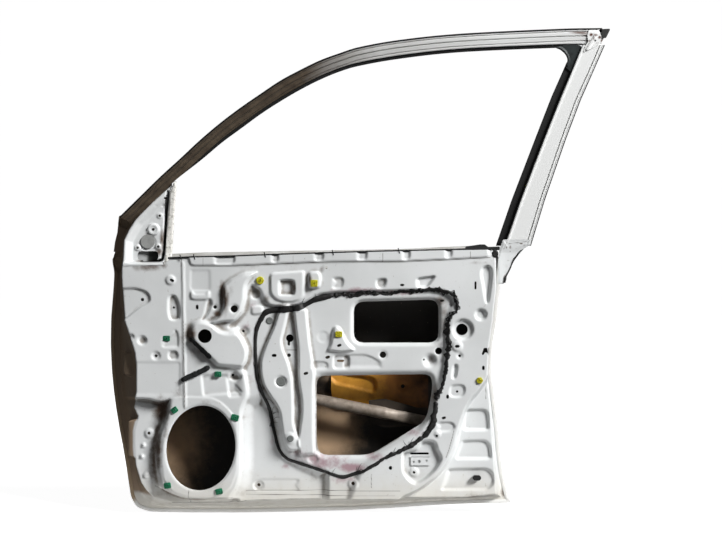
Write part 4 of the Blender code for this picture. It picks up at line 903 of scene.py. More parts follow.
def sash_piece(name, outer, inner, profile, node):
    """The profile carried along two edges; u counts from the outer edge, or below zero from the inner."""
    profile = np.array(profile, float)
    ends = [np.column_stack([line[:, 0], leaning_y(line[:, 1]), line[:, 1]]) for line in (outer, inner)]
    width = np.linalg.norm(ends[1] - ends[0], axis=1, keepdims=True)
    across = (ends[1] - ends[0]) / width
    u = np.where(profile[:, 0] < 0, width + profile[:, 0], profile[:, 0])
    rings = ends[0][:, None] + across[:, None] * u[..., None]
    rings[..., 1] += profile[:, 1]
    piece = carried(name, rings, [node])
    paint_values(piece, "groove", np.tile(profile[:, 2], len(rings)))
    paint_values(piece, "stain_and_shade", clouded(rings[..., 0], rings[..., 2], SASH_STAINS).ravel())
    return piece


def towards(line, target, distance):
    """Each point of the line moved by the distance towards its partner."""
    way = target - line
    return line + way / np.linalg.norm(way, axis=1, keepdims=True) * distance


header_outer = spaced(curve(HEADER_OUTER, 8), 7.0)
inner_line = spaced(curve(HEADER_INNER, 8), 1.0)
nearest = np.linalg.norm(header_outer[:, None] - inner_line[None], axis=2).argmin(axis=1)
header_inner = towards(inner_line[nearest], header_outer, INNER_TRIM)
header = sash_piece("header_sash_rolled", header_outer, header_inner, HEADER_FACE + CHANNEL_PROFILE,
                    "header_sash")
share = np.linspace(0, 1, 60)
rear_outer, rear_inner = [np.stack([np.interp(share, np.linspace(0, 1, len(line)), np.array(line)[:, k])
                                    for k in (0, 1)], axis=1) for line in (REAR_OUTER, REAR_INNER)]
rear = sash_piece("rear_sash_rolled", rear_outer, rear_inner, REAR_FACE + CHANNEL_PROFILE,
                  "rear_sash")


def glass_run(name, outer, inner, chosen, proud, node):
    """The rubber run starts at the floor of the sash's channel and stands proud of the inner edge."""
    floor = towards(inner, outer, CHANNEL)[chosen]
    lip = towards(inner, outer, -proud)[chosen]
    return sash_piece(name, floor, lip, RUN_PROFILE, node)


along_header = (header_inner[:, 0] > RUN_HEADER_SPAN[0]) & (header_inner[:, 0] < RUN_HEADER_SPAN[1])
run_header = glass_run("glass_run_header_rubber", header_outer, header_inner, along_header,
                       RUN_HEADER_WIDTH, "glass_run_header")
run_rear = glass_run("glass_run_rear_rubber", rear_outer, rear_inner, rear_inner[:, 1] < RUN_REAR_TOP,
                     RUN_REAR_WIDTH, "glass_run_rear")
print("frame stations:", len(header_outer), len(rear_outer))

# %% [markdown]
# Where header and rear sash meet, a small plate is welded on at a slant: its burnt paint has rusted.
# Below it sits the moulded rubber corner of the glass run, and outside it the black cap that closes
# the header's end. The folded foot below ties the rear sash to the panel. All are flat sheets with
# soft forms, drawn on a fine grid.

# %% Outlines of the rear corner and sash foot
CORNER_RUBBER = [(1040, 572), (1055, 578), (1091, 580), (1101, 577), (1108, 564), (1099, 543),
                 (1091, 523), (1086, 511), (1066, 528), (1070, 544), (1067, 553), (1061, 561),
                 (1052, 568)]
CORNER_LIP = [(1034, 571), (1043, 573), (1054, 570), (1063, 563), (1069, 554), (1072, 543), (1068, 530)]
JOINT_PLATE = [(1118, 613), (1147, 614.5), (1151, 603), (1153, 593), (1147, 583), (1132, 574),
               (1120, 568), (1106, 562), (1110, 575), (1117, 587), (1114, 600)]
JOINT_RIDGE = [(1108, 566), (1119, 585), (1135, 612), (1147, 612), (1126, 577), (1118, 563)]
JOINT_RUST = [(1123, 602, 4.5, 4, 1.0), (1134, 601, 6, 3.5, 0.8), (1143, 596, 4, 4, 0.9),
              (1149, 588, 4, 6, 0.8), (1119, 588, 4, 3, 0.7), (1138, 583, 6, 3, 0.4),
              (1129, 594, 3, 8, 0.6)]
END_CAP = [(1141, 612), (1147, 615), (1167, 616), (1167, 612.5), (1158, 594), (1151.5, 593.5),
           (1148, 601)]
FRAME_TOP_Y = -107.2
CORNER_LIP_WIDTH = 7.0
CORNER_SINK, CORNER_LIP_RISE = 4.0, 3.5
JOINT_STAND, JOINT_RIDGE_RISE = 0.9, 2.0
CAP_STAND = 3.2
FOOT_STAND, FOOT_RISE = 0.4, 1.6
SEAM_SHARES = [0, 0.1, 0.3, 0.5, 0.8, 0.9, 1]
SEAM_RADII = [0.8, 1.6, 2.4, 1.5, 1.8, 3.2, 2.4]
JOINT_HOLE = (1133, 588.5, 2.4)
FOOT_HOLE = (943, 103, 1.8, 3.2)
FOOT_PLATE = [(914, 14), (914, 67), (917, 97), (925, 122), (994, 122), (991, 108), (983, 104.5),
              (976, 99), (967, 87), (957, 76), (950, 67), (940.5, 43), (931, 24), (927, 14)]
FOOT_SEAM = [(974, 98), (967, 93), (960, 84), (952, 73), (946, 60), (943, 52), (936, 39), (932, 31),
             (929, 17)]
FOOT_MARKS = [(934, 102.5, 1.6, 3, 1.0), (943, 103, 2.6, 4.5, 1.0), (943, 93, 2, 1.8, 0.9),
              (969, 112, 5, 2.2, 1.0), (977, 108, 4, 3, 0.6), (958, 100, 5, 3, 0.4),
              (938, 71, 5, 2, 0.5), (930, 28, 4, 9, 1.0), (929, 60, 10, 14, 0.25)]
print("outline points:", len(CORNER_RUBBER) + len(JOINT_PLATE) + len(END_CAP) + len(FOOT_PLATE))

# %% [markdown]
# Two helpers serve these parts and later ones. The first cuts a plate from a square grid and gives it
# a depth, and the second carries a round strand along a line.

# %% Plates and strands
STRAND_SIDES = 10


def cut_plate(name, outline, step, depth, thickness, slot, node=None, holes=(), marks=None):
    """A sheet on a square grid inside an outline; depth gives y for arrays of x and z."""
    outline = np.asarray(outline, float)
    low, high = outline.min(axis=0) - step, outline.max(axis=0) + step
    x, z = np.meshgrid(np.arange(low[0], high[0] + step, step), np.arange(low[1], high[1] + step, step))
    x, z, inside = pull_to_cuts(x, z, outline, holes)
    values = {key: value(x, z) for key, value in (marks or {}).items()}
    return sheet_pieces([name], np.stack([x, depth(x, z), z], axis=-1), inside > ON_EDGE, thickness, slot,
                        [node] if node else [], marks=values)[0]


def strand_along(name, line, depth, radius, slot, *nodes):
    """A round strand whose rings stand across the line; depth and radius may change along it."""
    line = np.asarray(line, float)
    along = np.gradient(line, axis=0)
    along /= np.linalg.norm(along, axis=1, keepdims=True)
    turn = np.arange(STRAND_SIDES) * 2 * np.pi / STRAND_SIDES
    radius = np.broadcast_to(radius, len(line))[:, None]
    depth = np.broadcast_to(depth, len(line))[:, None]
    rings = np.stack([line[:, :1] - along[:, 1:] * radius * np.cos(turn), depth + radius * np.sin(turn),
                      line[:, 1:] + along[:, :1] * radius * np.cos(turn)], axis=-1)
    return carried(name, rings, nodes)


print("sides of a strand:", STRAND_SIDES)

# %% [markdown]
# Each part's depth is a small function of its own. The joint's plate and the cap end level with the
# frame's top, which is the front of the whole door.

# %% Rear corner and sash foot
FOOT_LINES = [FOOT_SEAM, [(936, 118), (927, 98)], [(990, 117), (940, 112)]]


def corner_depth(x, z):
    """Y of the moulded corner: behind the sash's face, with a lip raised along a band."""
    lip = band_loop(curve(CORNER_LIP, 3), CORNER_LIP_WIDTH)
    return leaning_y(z) + CORNER_SINK + pressed(x, z, lip, -CORNER_LIP_RISE, (3, 3, 3, 3), 0.5)


def joint_depth(x, z):
    """Y of the welded plate: just proud of the sash, with a slanted ridge, never past the frame's top."""
    ridge = pressed(x, z, JOINT_RIDGE, -JOINT_RIDGE_RISE, (5, 5, 5, 5), 3)
    return np.maximum(leaning_y(z) - JOINT_STAND + ridge, FRAME_TOP_Y)


def cap_depth(x, z):
    """Y of the end cap: it stands proud of the sash, never past the frame's top."""
    return np.maximum(leaning_y(z) - CAP_STAND, FRAME_TOP_Y)


def foot_depth(x, z):
    """Y of the folded foot: on the sash's face, and raised inside its folds."""
    return leaning_y(z) - FOOT_STAND + pressed(x, z, FOOT_PLATE, -FOOT_RISE, (5, 3, 40, 3), 3)


corner_rubber = cut_plate("glass_run_corner_moulded", rounded(CORNER_RUBBER, 2, 3), 1.5, corner_depth, 6,
                          "rubber", "glass_run_corner")
joint_plate = cut_plate("sash_joint_welded", rounded(JOINT_PLATE, 1.5, 3), 1.2, joint_depth, 0.6,
                        "frame_primer", "header_sash", [oval(*JOINT_HOLE, sides=16)],
                        {"stain_and_shade": lambda x, z: clouded(x, z, JOINT_RUST)})
end_cap = cut_plate("sash_end_cap_moulded", rounded(END_CAP, 1.5, 3), 1.2, cap_depth, 9,
                    "rubber", "sash_end_cap")
foot = cut_plate("sash_foot_folded", rounded(FOOT_PLATE, 2.5, 3), 2.0, foot_depth, 1.2,
                 "door_paint", "sash_foot", [oval(*FOOT_HOLE, sides=14)],
                 {"stain_and_shade": lambda x, z: clouded(x, z, FOOT_MARKS),
                  "seam_and_shade_line": lambda x, z: lined(x, z, FOOT_LINES, 3.0)})
seam_line = spaced(curve(FOOT_SEAM, 5), 3.0)
seam_radius = np.interp(np.linspace(0, 1, len(seam_line)), SEAM_SHARES, SEAM_RADII)
foot_seam = strand_along("sash_foot_seam_sealer", seam_line, leaning_y(seam_line[:, 1]) - 2.5, seam_radius,
                         "butyl")
print("corner and foot plates: 4")

# %% [markdown]
# The mirror patch fills the front corner of the window: a small pressing with a broad slope along the
# sash, a sunk flat middle, bosses and rings round its screw holes, and the window for the mirror's
# cable. A deep groove parts it from the post, its dark painted on as shade. Behind it lies the folded
# edge of the skin's own patch, painted brown and, behind the patch, black as shade.

# %% Outlines of the mirror patch
PATCH = [(-2.5, 70), (-2.5, 91), (-27, 93), (-23, 117), (-12, 155), (15, 145.5), (31, 171), (51, 192.5),
         (74, 214.5), (112, 249.5), (124, 260), (127, 250), (122, 238), (115, 169), (111, 120),
         (108, 88), (106, 60), (9, 58), (8, 70)]
POST = [(106, 66), (106, 84), (109, 120), (113.5, 163), (118, 199), (121, 233), (128, 250),
        (133, 261.5), (139, 257), (136.5, 230), (132, 191), (129, 155), (126, 120), (123, 84),
        (122.5, 66)]
WINDOW_BACK = (68, 83, 70, 40)
PATCH_RIDGE = [(8, 50), (12, 120), (23, 143), (38, 167), (57, 187), (79, 209), (114, 241), (150, 274),
               (150, 50)]
PATCH_FOOT = [(-6, 50), (-6, 120), (8, 152), (25, 179), (44, 201), (67, 224), (107, 258), (150, 300),
              (170, 50)]
PATCH_DISH = [(12, 40), (15, 119), (27, 141), (42, 165), (61, 185), (83, 207), (116, 237), (150, 268),
              (150, 40)]
PATCH_DISH_RUN = 18.0
PATCH_HOLES = [(109.8, 221, 2.8), (95.8, 179, 3.2), (80.3, 145.8, 3.6), (42.5, 101.8, 3.2),
               (92, 104.2, 3.2)]
PATCH_BOSSES = [(80.3, 145.8, 15.7, -5, 3.5), (80.3, 145.8, 9, 1.2, 3), (95.8, 179, 8, -2, 2),
                (42.5, 101.8, 8, -3, 2), (92, 104.2, 8, -3, 2), (102.8, 203.4, 3.6, 1.6, 2),
                (88.6, 202, 3, 1, 2), (67, 114, 20.5, 1.6, 2)]
PATCH_WINDOW = (67, 82.5, 50, 22)
POCKET_DEPTH, POCKET_SLANT, POCKET_FRONT = 9.0, 0.12, 45.0
POST_STAND, POST_RISE = 4.0, 2.0
FOLD_Y, FOLD_LEAN_START, FOLD_STEP = 33.0, 96.0, 4.0
PATCH_RIDGE_SINK = 5.0
PATCH_LAP_RUN = 6.0
PATCH_PLUG = (67.0, 117.0, 17.0)
PATCH_GROOVE = [(118, 238), (112, 205), (110, 169), (108, 140), (106.5, 120), (104.5, 95), (101, 76),
                (93, 70), (52, 69.5)]
PATCH_GROOVE_WIDTH = 7.5
PATCH_GROOVE_DEPTH = 15.0
PATCH_PLUG_LAP = 5.0
PATCH_FLOOR_Y = -27.0
PATCH_STEP = 1.4
PATCH_LAP_Z = 64.0
# The patch's dark line along its lower edge and the brown beside the groove are painted shade.
PATCH_STAINS_AND_SHADE = [(94, 92, 12, 14, 0.8), (66, 70, 40, 4, 0.8), (101, 120, 7, 34, 0.8),
                (40, 112, 6, 12, 0.35), (60, 130, 12, 6, 0.3), (20, 68, 30, 5, 0.3)]
FRONT_FOLD = [(-11, 180), (-19, 117), (-23, 92), (-27, 82), (-27, 56), (-20, 44), (60, 44), (104, 60),
              (109, 120), (113, 170), (119, 240), (60, 222), (20, 190)]
print("patch holes, bosses and rings:", len(PATCH_HOLES) + len(PATCH_BOSSES))

# %% [markdown]
# The patch is added up as the panel was: a ridge, a sunk middle, bosses, the groove, and the wall to
# its flange. Its lowest strip laps in front of the panel, where the two are spot-welded.

# %% Mirror patch and window post


def patch_wall(x, z):
    """0 on the patch's face and 1 on the flange in front of it."""
    off_face = np.maximum(-edge_distance(PATCH_RIDGE, x, z)[0], 0)
    on_foot = np.maximum(edge_distance(PATCH_FOOT, x, z)[0], 0)
    return off_face / np.maximum(off_face + on_foot, 1e-6)


def patch_depth(x, z):
    """Y of the mirror patch: a ridge along the sash, a sunk middle with bosses, a wall to the flange."""
    ridge = TRIM_Y + INNER_SHEET + GAP + PATCH_RIDGE_SINK * np.clip((z - BELT_Z) / 150, 0, 1)
    y = ridge + (PATCH_FLOOR_Y - ridge) * soft_step(edge_distance(PATCH_DISH, x, z)[0] / PATCH_DISH_RUN)
    lap = TRIM_Y - INNER_SHEET - GAP
    y = lap + (y - lap) * np.clip((z - PATCH_LAP_Z) / PATCH_LAP_RUN, 0, 1)
    for cx, cz, r, depth, run in PATCH_BOSSES:
        y = y + depth * soft_step((r - np.hypot(x - cx, z - cz)) / run)
    groove = band_loop(curve(PATCH_GROOVE, 3), PATCH_GROOVE_WIDTH)
    y = y + pressed(x, z, groove, PATCH_GROOVE_DEPTH, (2.4, 2.4, 2.4, 2.4), 0.5)
    share = patch_wall(x, z)
    flange = FLANGE_Y - LEAN * np.maximum(z - PATCH[0][1], 0)
    return y * (1 - share) + flange * share


def patch_groove_mark(x, z):
    """1 along the groove by the post, painted dark as shade, fading to about a half towards its upper end.
    """
    fade = 0.55 + 0.45 * soft_step((225 - z) / 50)
    return lined(x, z, [PATCH_GROOVE], PATCH_GROOVE_WIDTH + 2) * fade


def fold_depth(x, z):
    """Y of the folded edge behind the patch: it leans as the frame does and steps back inside its rim."""
    step = pressed(x, z, FRONT_FOLD, FOLD_STEP, (7, 4, 4, 4), 3)
    return FOLD_Y - LEAN * np.maximum(z - FOLD_LEAN_START, 0) + step


def post_depth(x, z):
    """Y of the post: proud of the sash's face, and rounded up between its long edges."""
    return leaning_y(z) - POST_STAND + pressed(x, z, POST, -POST_RISE, (5, 5, 5, 5), 2)


def pocket_depth(x, z):
    """Y of the pocket seen through the cable's window: behind the patch's floor, deeper to the rear."""
    return PATCH_FLOOR_Y + POCKET_DEPTH + POCKET_SLANT * (x - POCKET_FRONT)


plug_x, plug_z, plug_radius = PATCH_PLUG
patch_holes = [oval(x, z, r, sides=24) for x, z, r in PATCH_HOLES]
patch_holes += [rounded(box_loop(*PATCH_WINDOW), 9), oval(plug_x, plug_z, plug_radius - PATCH_PLUG_LAP)]
# Painted shade on the patch: its wall to the flange is brown and its groove near black.
patch = cut_plate("mirror_patch_pressed", PATCH, PATCH_STEP, lambda x, z: blurred(patch_depth(x, z), 1),
                  INNER_SHEET, "door_paint", "mirror_patch", patch_holes,
                  {"painted_shade_wall": lambda x, z: soft_step(patch_wall(x, z) * 10),
                   "groove": patch_groove_mark, "stain_and_shade": lambda x, z: clouded(x, z, PATCH_STAINS_AND_SHADE)})
post = cut_plate("front_window_post_sealed", rounded(POST, 2, 3), 1.6, post_depth, 8, "door_paint",
                 "front_window_post")
# The cable pocket is painted darker to the right, as the shadow of the window's edge.
window_back = cut_plate("mirror_patch_cable_pocket", box_loop(*WINDOW_BACK), 2.0, pocket_depth, 0.8,
                        "door_paint", "mirror_patch",
                        marks={"groove": lambda x, z: np.clip(0.5 + (x - 62) / 24, 0.42, 1)})
front_fold = cut_plate("outer_mirror_patch_folded", rounded(FRONT_FOLD, 3, 3), 2.5, fold_depth, SKIN_SHEET,
                       "door_paint", "outer_mirror_patch")
print("mirror patch holes:", len(patch_holes))

# %% [markdown]
# Along the belt a black strand lies in the slot for the glass, a dark stand-in for the slot's shade.
# It rests on the panel's edge, has small tongues across it, and ends at the rear in a dark block and a
# round stop.

# %% Belt slot shadow, tongues and stop
SLOT_SHADOW_LINE = [(118, 76.5), (152, 78), (183, 79), (274, 81), (435, 87), (603, 92), (771, 96), (880, 98.5),
             (908, 100)]
SLOT_TONGUES = [149, 181.6, 350.8, 514, 672.4]
SLOT_SHADOW_RADIUS = 2.5
TONGUE_RADIUS = 1.2
BLOCK_Y = -20.0
BELT_BLOCK = [(833, 95), (835, 105), (869, 110), (881, 110), (888, 104), (917, 105), (917, 96)]
slot_shadow_line = spaced(SLOT_SHADOW_LINE, 8.0)
# Painted shadow: a black strand stands in for the shade in the glass slot.
belt_slot_parts = [strand_along("belt_slot_shadow_strand", slot_shadow_line, TRIM_Y - 1.0, SLOT_SHADOW_RADIUS, "rubber")]
for number, x in enumerate(SLOT_TONGUES):
    z = np.interp(x, *np.array(SLOT_SHADOW_LINE).T)
    tongue = [(x + 1.5, z - 6), (x, z), (x - 2, z + 7)]
    belt_slot_parts.append(strand_along(f"belt_slot_tongue_{number + 1}", tongue, TRIM_Y - 4.0, TONGUE_RADIUS,
                                  "rubber"))
belt_block = cut_plate("belt_strip_end_block", rounded(BELT_BLOCK, 2, 3), 2.0,
                       lambda x, z: BLOCK_Y + 0 * x, 14, "rubber")
print("belt seal pieces:", len(belt_slot_parts) + 1)

# %% [markdown]
# The black butyl sealer holds a plastic sheet against the panel. When the sheet was pulled off, the
# sealer stayed: an even bead on the left and below, and a torn, stringy one above and on the right.
# Each strand lies on the sheet, so every point takes its depth from the pressed surface below it.

# %% Lines of the butyl sealer
SEALER_LEFT = [(516, -12), (495, -17), (473, -22), (456, -31), (442, -38), (425, -44), (387, -47),
               (368, -49), (351, -55), (341, -70), (334, -84), (329, -101), (327, -125), (327, -156),
               (329, -180), (330, -197), (334, -221), (339, -238), (348, -259), (358, -281),
               (364, -305), (368, -329), (374, -353), (380, -377), (389, -394), (404, -408),
               (425, -416), (464, -428), (507, -442), (538, -450), (560, -444), (584, -436)]
SEALER_BELOW = [(580, -438), (605, -425), (639, -403), (682, -383), (711, -367), (738, -346),
                (750, -328), (757, -300), (762, -268)]
SEALER_RIGHT = [(761, -264), (773, -235), (782, -204), (788, -168), (790, -144), (791, -120),
                (789, -96), (790, -77)]
SEALER_CORNER = [(790, -77), (800, -60), (809, -48), (812, -34), (807, -17), (797, -7), (783, -2),
                 (759, 0), (732, 0), (711, -2)]
SEALER_TOP = [(711, -2), (687, -4), (663, -7), (646, -10), (627, -7), (588, -7), (569, -13), (550, -10),
              (516, -12)]
SEALER_CREST = 4.0
print("points on the sealer's two lower lines:", len(SEALER_LEFT) + len(SEALER_BELOW))

# %% [markdown]
# A bead's section is half an ellipse. Its width, its crest and its path each get a noise of their own,
# and the noise is small where the bead was laid by machine and large where it was torn.

# %% Beads of sealer


def ripple(draw, count, every):
    """Random numbers from -1 to 1 at every so many stations, joined by straight lines."""
    knots = draw.uniform(-1, 1, count // every + 2)
    return np.interp(np.arange(count) / every, np.arange(len(knots)), knots)


def bead(name, line, width, height, replaces=(), rough=0.0, power=1.0, seed=1, step=3.0, wander=0.0,
         lift=0.3):
    """At angle a the strand lies w/2 cos a beside its line and h sin a above the sheet, with noise."""
    line = spaced(curve(line, 6), step)
    along = np.gradient(line, axis=0)
    along /= np.linalg.norm(along, axis=1, keepdims=True)
    side = np.stack([-along[:, 1], along[:, 0]], axis=1)
    count = len(line)
    draw = np.random.default_rng(seed)
    line = line + side * (wander * ripple(draw, count, 5) + 0.4 * wander * ripple(draw, count, 2))[:, None]
    share = np.linspace(0, 1, count)
    end = np.clip(np.minimum(share, 1 - share) * count * step / 5 + 0.12, 0, 1) ** 0.5
    wide = np.interp(share, *np.array(width, float).T) * end * (1 + rough * ripple(draw, count, 3))
    a = np.linspace(0, np.pi, 9)
    jitter = 1 + 0.6 * rough * np.stack([ripple(draw, count, 2) for _ in a], axis=1)
    u = wide[:, None] / 2 * np.sign(np.cos(a)) * np.abs(np.cos(a)) ** power * jitter
    h = height * (wide / np.array(width, float)[:, 1].max())[:, None] * np.sin(a) ** power * jitter
    x, z = line[:, :1] + side[:, :1] * u, line[:, 1:] + side[:, 1:] * u
    y = surface_y(x, z) - lift - h
    return carried(name, np.stack([x, y, z], axis=-1), replaces)


LEFT_WIDTHS = [(0, 10), (0.03, 14), (0.1, 12), (0.16, 15), (0.22, 15), (0.27, 11), (0.32, 8.5), (0.8, 8),
               (1, 9)]
sealer = [bead("butyl_left_strand", SEALER_LEFT, LEFT_WIDTHS, SEALER_CREST, ["butyl_lower"], 0.12,
               seed=2)]
sealer.append(bead("butyl_below_strand", SEALER_BELOW, [(0, 7), (0.5, 11), (1, 12)], SEALER_CREST,
                   ["butyl_lower"], 0.35, seed=3, step=2.2, wander=1.2))
torn = [("right", SEALER_RIGHT, 10.0, 3), ("corner", SEALER_CORNER, 7.0, 4), ("top", SEALER_TOP, 8.0, 3)]
for place, line, width, strands in torn:
    for k in range(strands):
        thick = width if k == 0 else width * 0.5
        widths = [(0, thick), (0.3, 0.6 * thick), (0.6, 1.2 * thick), (1, thick)]
        sealer.append(bead(f"butyl_{place}_strand_{k + 1}", line, widths, SEALER_CREST * (0.9 - 0.15 * k),
                           ["butyl_upper"], 0.7, seed=10 + k, step=2.2, wander=1.5 + 2.2 * k,
                           lift=0.3 + 0.2 * k))
# A thread is x, z, the turn of its first string in degrees and how many strings it has.
THREADS = [(347, -240, 60, 2), (352, -262, -70, 2), (369, -300, 15, 3), (366, -318, 30, 2),
           (330, -190, 80, 2), (360, -330, -10, 3), (480, -24, 50, 3), (440, -42, 75, 2),
           (800, -40, 60, 3), (784, -110, 30, 2), (766, -250, 40, 2), (700, -376, 70, 3),
           (660, -396, 40, 3), (574, -438, 30, 3), (512, -446, 65, 2)]
for number, (x, z, turn, strands) in enumerate(THREADS):
    for k in range(strands):
        angle = np.radians(turn + 35 * k)
        reach = 9 + 5 * ((number + 2 * k) % 4)
        tip = np.array([np.cos(angle), np.sin(angle)]) * reach
        bend = (x + 0.5 * tip[0] - 0.1 * tip[1], z + 0.5 * tip[1] + 0.2 * tip[0])
        path = [(x, z), bend, (x + tip[0], z + tip[1])]
        sealer.append(bead(f"butyl_thread_{number + 1}_{k + 1}", path, [(0, 1.2), (1, 0.7)], 0.8,
                           ["butyl_upper"], 0.2, seed=40 + number, step=2.5))
print("sealer strands:", len(sealer))

# %% [markdown]
# The strips of black foam beside the speaker stop rattles. They are cut square, have sagged a little
# and crumble at their edges, so the same strand is drawn with a squarer section and a short noise.

# %% Foam strips
FOAM_HEIGHT = 6.5
FOAM_STRIPS = [("upper", [(170, -115), (188, -131), (204, -146), (222, -163)], [(0, 10), (1, 13)], 5),
               ("lower", [(150, -217), (173, -206), (195, -196), (218, -184)], [(0, 12), (1, 12)], 6)]
foam = [bead(f"foam_strip_{place}_cut", line, widths, FOAM_HEIGHT, [f"foam_strip_{place}"], 0.12,
             0.35, seed=seed, step=2.0) for place, line, widths, seed in FOAM_STRIPS]
print("foam strips:", len(foam))

# %% [markdown]
# Trim clips: small plastic seats pushed into square holes, which once held the lining's screws. Seen
# from the front each is a rounded plate with a raised boss and a dimple, made of rings of one outline
# drawn smaller and higher.

# %% Trim clips
CLIP_RINGS = [(1.0, 0.2), (1.0, 2.8), (0.96, 3.4), (0.88, 3.7), (0.66, 3.7), (0.6, 3.0), (0.5, 3.0),
              (0.46, 4.4), (0.38, 4.8), (0.26, 4.8), (0.2, 4.2), (0.17, 1.6)]
PLUG_RINGS = [(1.0, 0.2), (1.0, 0.8), (0.94, 1.2), (0.62, 1.5), (0.58, 1.1), (0.3, 1.0), (0.1, 1.0)]
# A ring is its share of the outline and its height. A green clip is x, z, width, height and turn.
GREEN_CLIPS = [(114, -116, 17, 13, 0), (238, -202, 17, 13, 0), (134, -288, 16, 14, 35),
               (279, -306, 18, 15, -15), (117, -469, 17, 14, 8), (241, -483, 17, 14, 12)]
YELLOW_SQUARES = [("yellow_clip_2", 469, 16, 17, 17), ("yellow_clip_3", 528, -106, 17, 14)]
YELLOW_POLYGONS = [("yellow_clip_1", 339, 23, 10.0, 8), ("yellow_clip_4", 866, -217, 8.5, 6)]
PANEL_PLUGS = [("panel_plug_moulded", 389, -220, 12.6), ("rib_plug_upper", 361, -74, 8.6),
               ("rib_plug_lower", 412, -356, 8.0)]


def moulding(name, loop, rings, slot, *nodes):
    """Rings of one outline: the loop shrunk about its middle to a share, at a height above the sheet."""
    middle = loop.mean(axis=0)
    base = surface_y(*[np.array([value]) for value in middle])[0]
    share, height = np.array(rings, float).T
    flat = middle + (loop - middle) * share[:, None, None]
    y = base - height[:, None] + 0 * flat[..., 0]
    return carried(name, np.stack([flat[..., 0], y, flat[..., 1]], axis=-1), nodes)


green = [moulding(f"green_clip_{k + 1}_moulded", rounded(box_loop(x, z, w, h, turn), 3.0), CLIP_RINGS,
                  "green_plastic", f"green_clip_{k + 1}")
         for k, (x, z, w, h, turn) in enumerate(GREEN_CLIPS)]
yellow = [moulding(node + "_moulded", rounded(box_loop(x, z, w, h), 2.5), CLIP_RINGS, "yellow_plastic",
                   node) for node, x, z, w, h in YELLOW_SQUARES]
yellow += [moulding(node + "_moulded", rounded(oval(x, z, r, sides=sides), 1.5), CLIP_RINGS,
                    "yellow_plastic", node) for node, x, z, r, sides in YELLOW_POLYGONS]
plugs = [moulding(name, oval(x, z, r, sides=32), PLUG_RINGS, "plug_plastic", "panel_plug")
         for name, x, z, r in PANEL_PLUGS]
print("clips and plugs:", len(green) + len(yellow) + len(plugs))

# %% [markdown]
# Two small parts finish the trim face. A round rubber stop sits at the rear end of the belt, and a
# small steel bracket with three holes is welded on at the lower right, its upper edge bent towards
# the cabin. The stop is drawn as the plugs are, and the bracket is a cut plate.

# %% Belt stop and lower bracket
BELT_STOP = (903.5, 87, 7.5, 9.5)
BRACKET = (724, -410.5, 46, 23.5)
BRACKET_SEAT = (724.0, -410.0)
BRACKET_STAND = 3.0
BRACKET_BEND = (-403.0, 2.0, 3.0)
BRACKET_HOLES = [(708.4, -413.5, 2.5), (721.1, -412.8, 3.8), (739.1, -410.4, 2.5)]


def bracket_depth(x, z):
    """Y of the bracket: flat in front of the panel, and nearer the cabin above its bend."""
    bend_z, bend, run = BRACKET_BEND
    return bracket_y - bend * soft_step((z - bend_z) / run)


belt_stop = moulding("belt_end_stop_moulded", oval(*BELT_STOP, sides=24), PLUG_RINGS, "rubber")
bracket_y = surface_y(*[np.array([value]) for value in BRACKET_SEAT])[0] - BRACKET_STAND
bracket = cut_plate("lower_bracket_pressed", rounded(box_loop(*BRACKET), 1.5, 3), 1.5, bracket_depth, 1.5,
                    "bare_steel", "lower_bracket_plate",
                    [oval(x, z, r, sides=16) for x, z, r in BRACKET_HOLES])
print("bracket holes:", len(BRACKET_HOLES))

# %% [markdown]
# Through the lower hole one sees the yellow-orange stiffener on the skin, and in front of it the
# side-impact beam, a steel tube whose end is pressed flat for its bracket.

# %% Skin stiffener
STIFFENER_Y = 71.0
STIFFENER_EDGE = [(507, -196), (507, -250), (512, -284), (530, -295), (600, -299), (748, -299),
                  (748, -196)]
STIFFENER_LOBE = [(498, -190), (521, -190), (533, -199), (543, -207), (591, -214), (615, -220),
                  (621, -229), (621, -247), (612, -255), (518, -233), (500, -214)]
STIFFENER_DRAW = 9.0
STIFFENER_STEP = 2.5
STIFFENER_HOLE = (685, -240, 5)
STIFFENER_RING = (13.0, 2.0, 4.0)
plate_x, plate_z = np.meshgrid(np.arange(500, 754, STIFFENER_STEP), np.arange(-303, -190, STIFFENER_STEP))
plate_x, plate_z, plate_inside = pull_to_cuts(plate_x, plate_z, rounded(STIFFENER_EDGE, 7),
                                              [oval(*STIFFENER_HOLE)])
lobe = pressed(plate_x, plate_z, STIFFENER_LOBE, STIFFENER_DRAW, (1, 9, 6, 1), 5)
ring_radius, ring_rise, ring_run = STIFFENER_RING
from_hole = np.hypot(plate_x - STIFFENER_HOLE[0], plate_z - STIFFENER_HOLE[1])
plate_y = STIFFENER_Y - STIFFENER_DRAW + lobe - ring_rise * soft_step((ring_radius - from_hole) / ring_run)
plate = np.stack([plate_x, blurred(plate_y, 1), plate_z], axis=-1)
stiffener = sheet_pieces(["skin_stiffener_pressed"], plate, plate_inside > ON_EDGE, 1.0, "orange_coat",
                         ["skin_stiffener"])[0]
print("stiffener grid:", plate_x.shape)

# %% [markdown]
# The beam is a round tube for two thirds of its length. Then it swells where the press took hold, goes
# flat, and runs into its bracket. The rings stay alike in number, and only their two radii change.

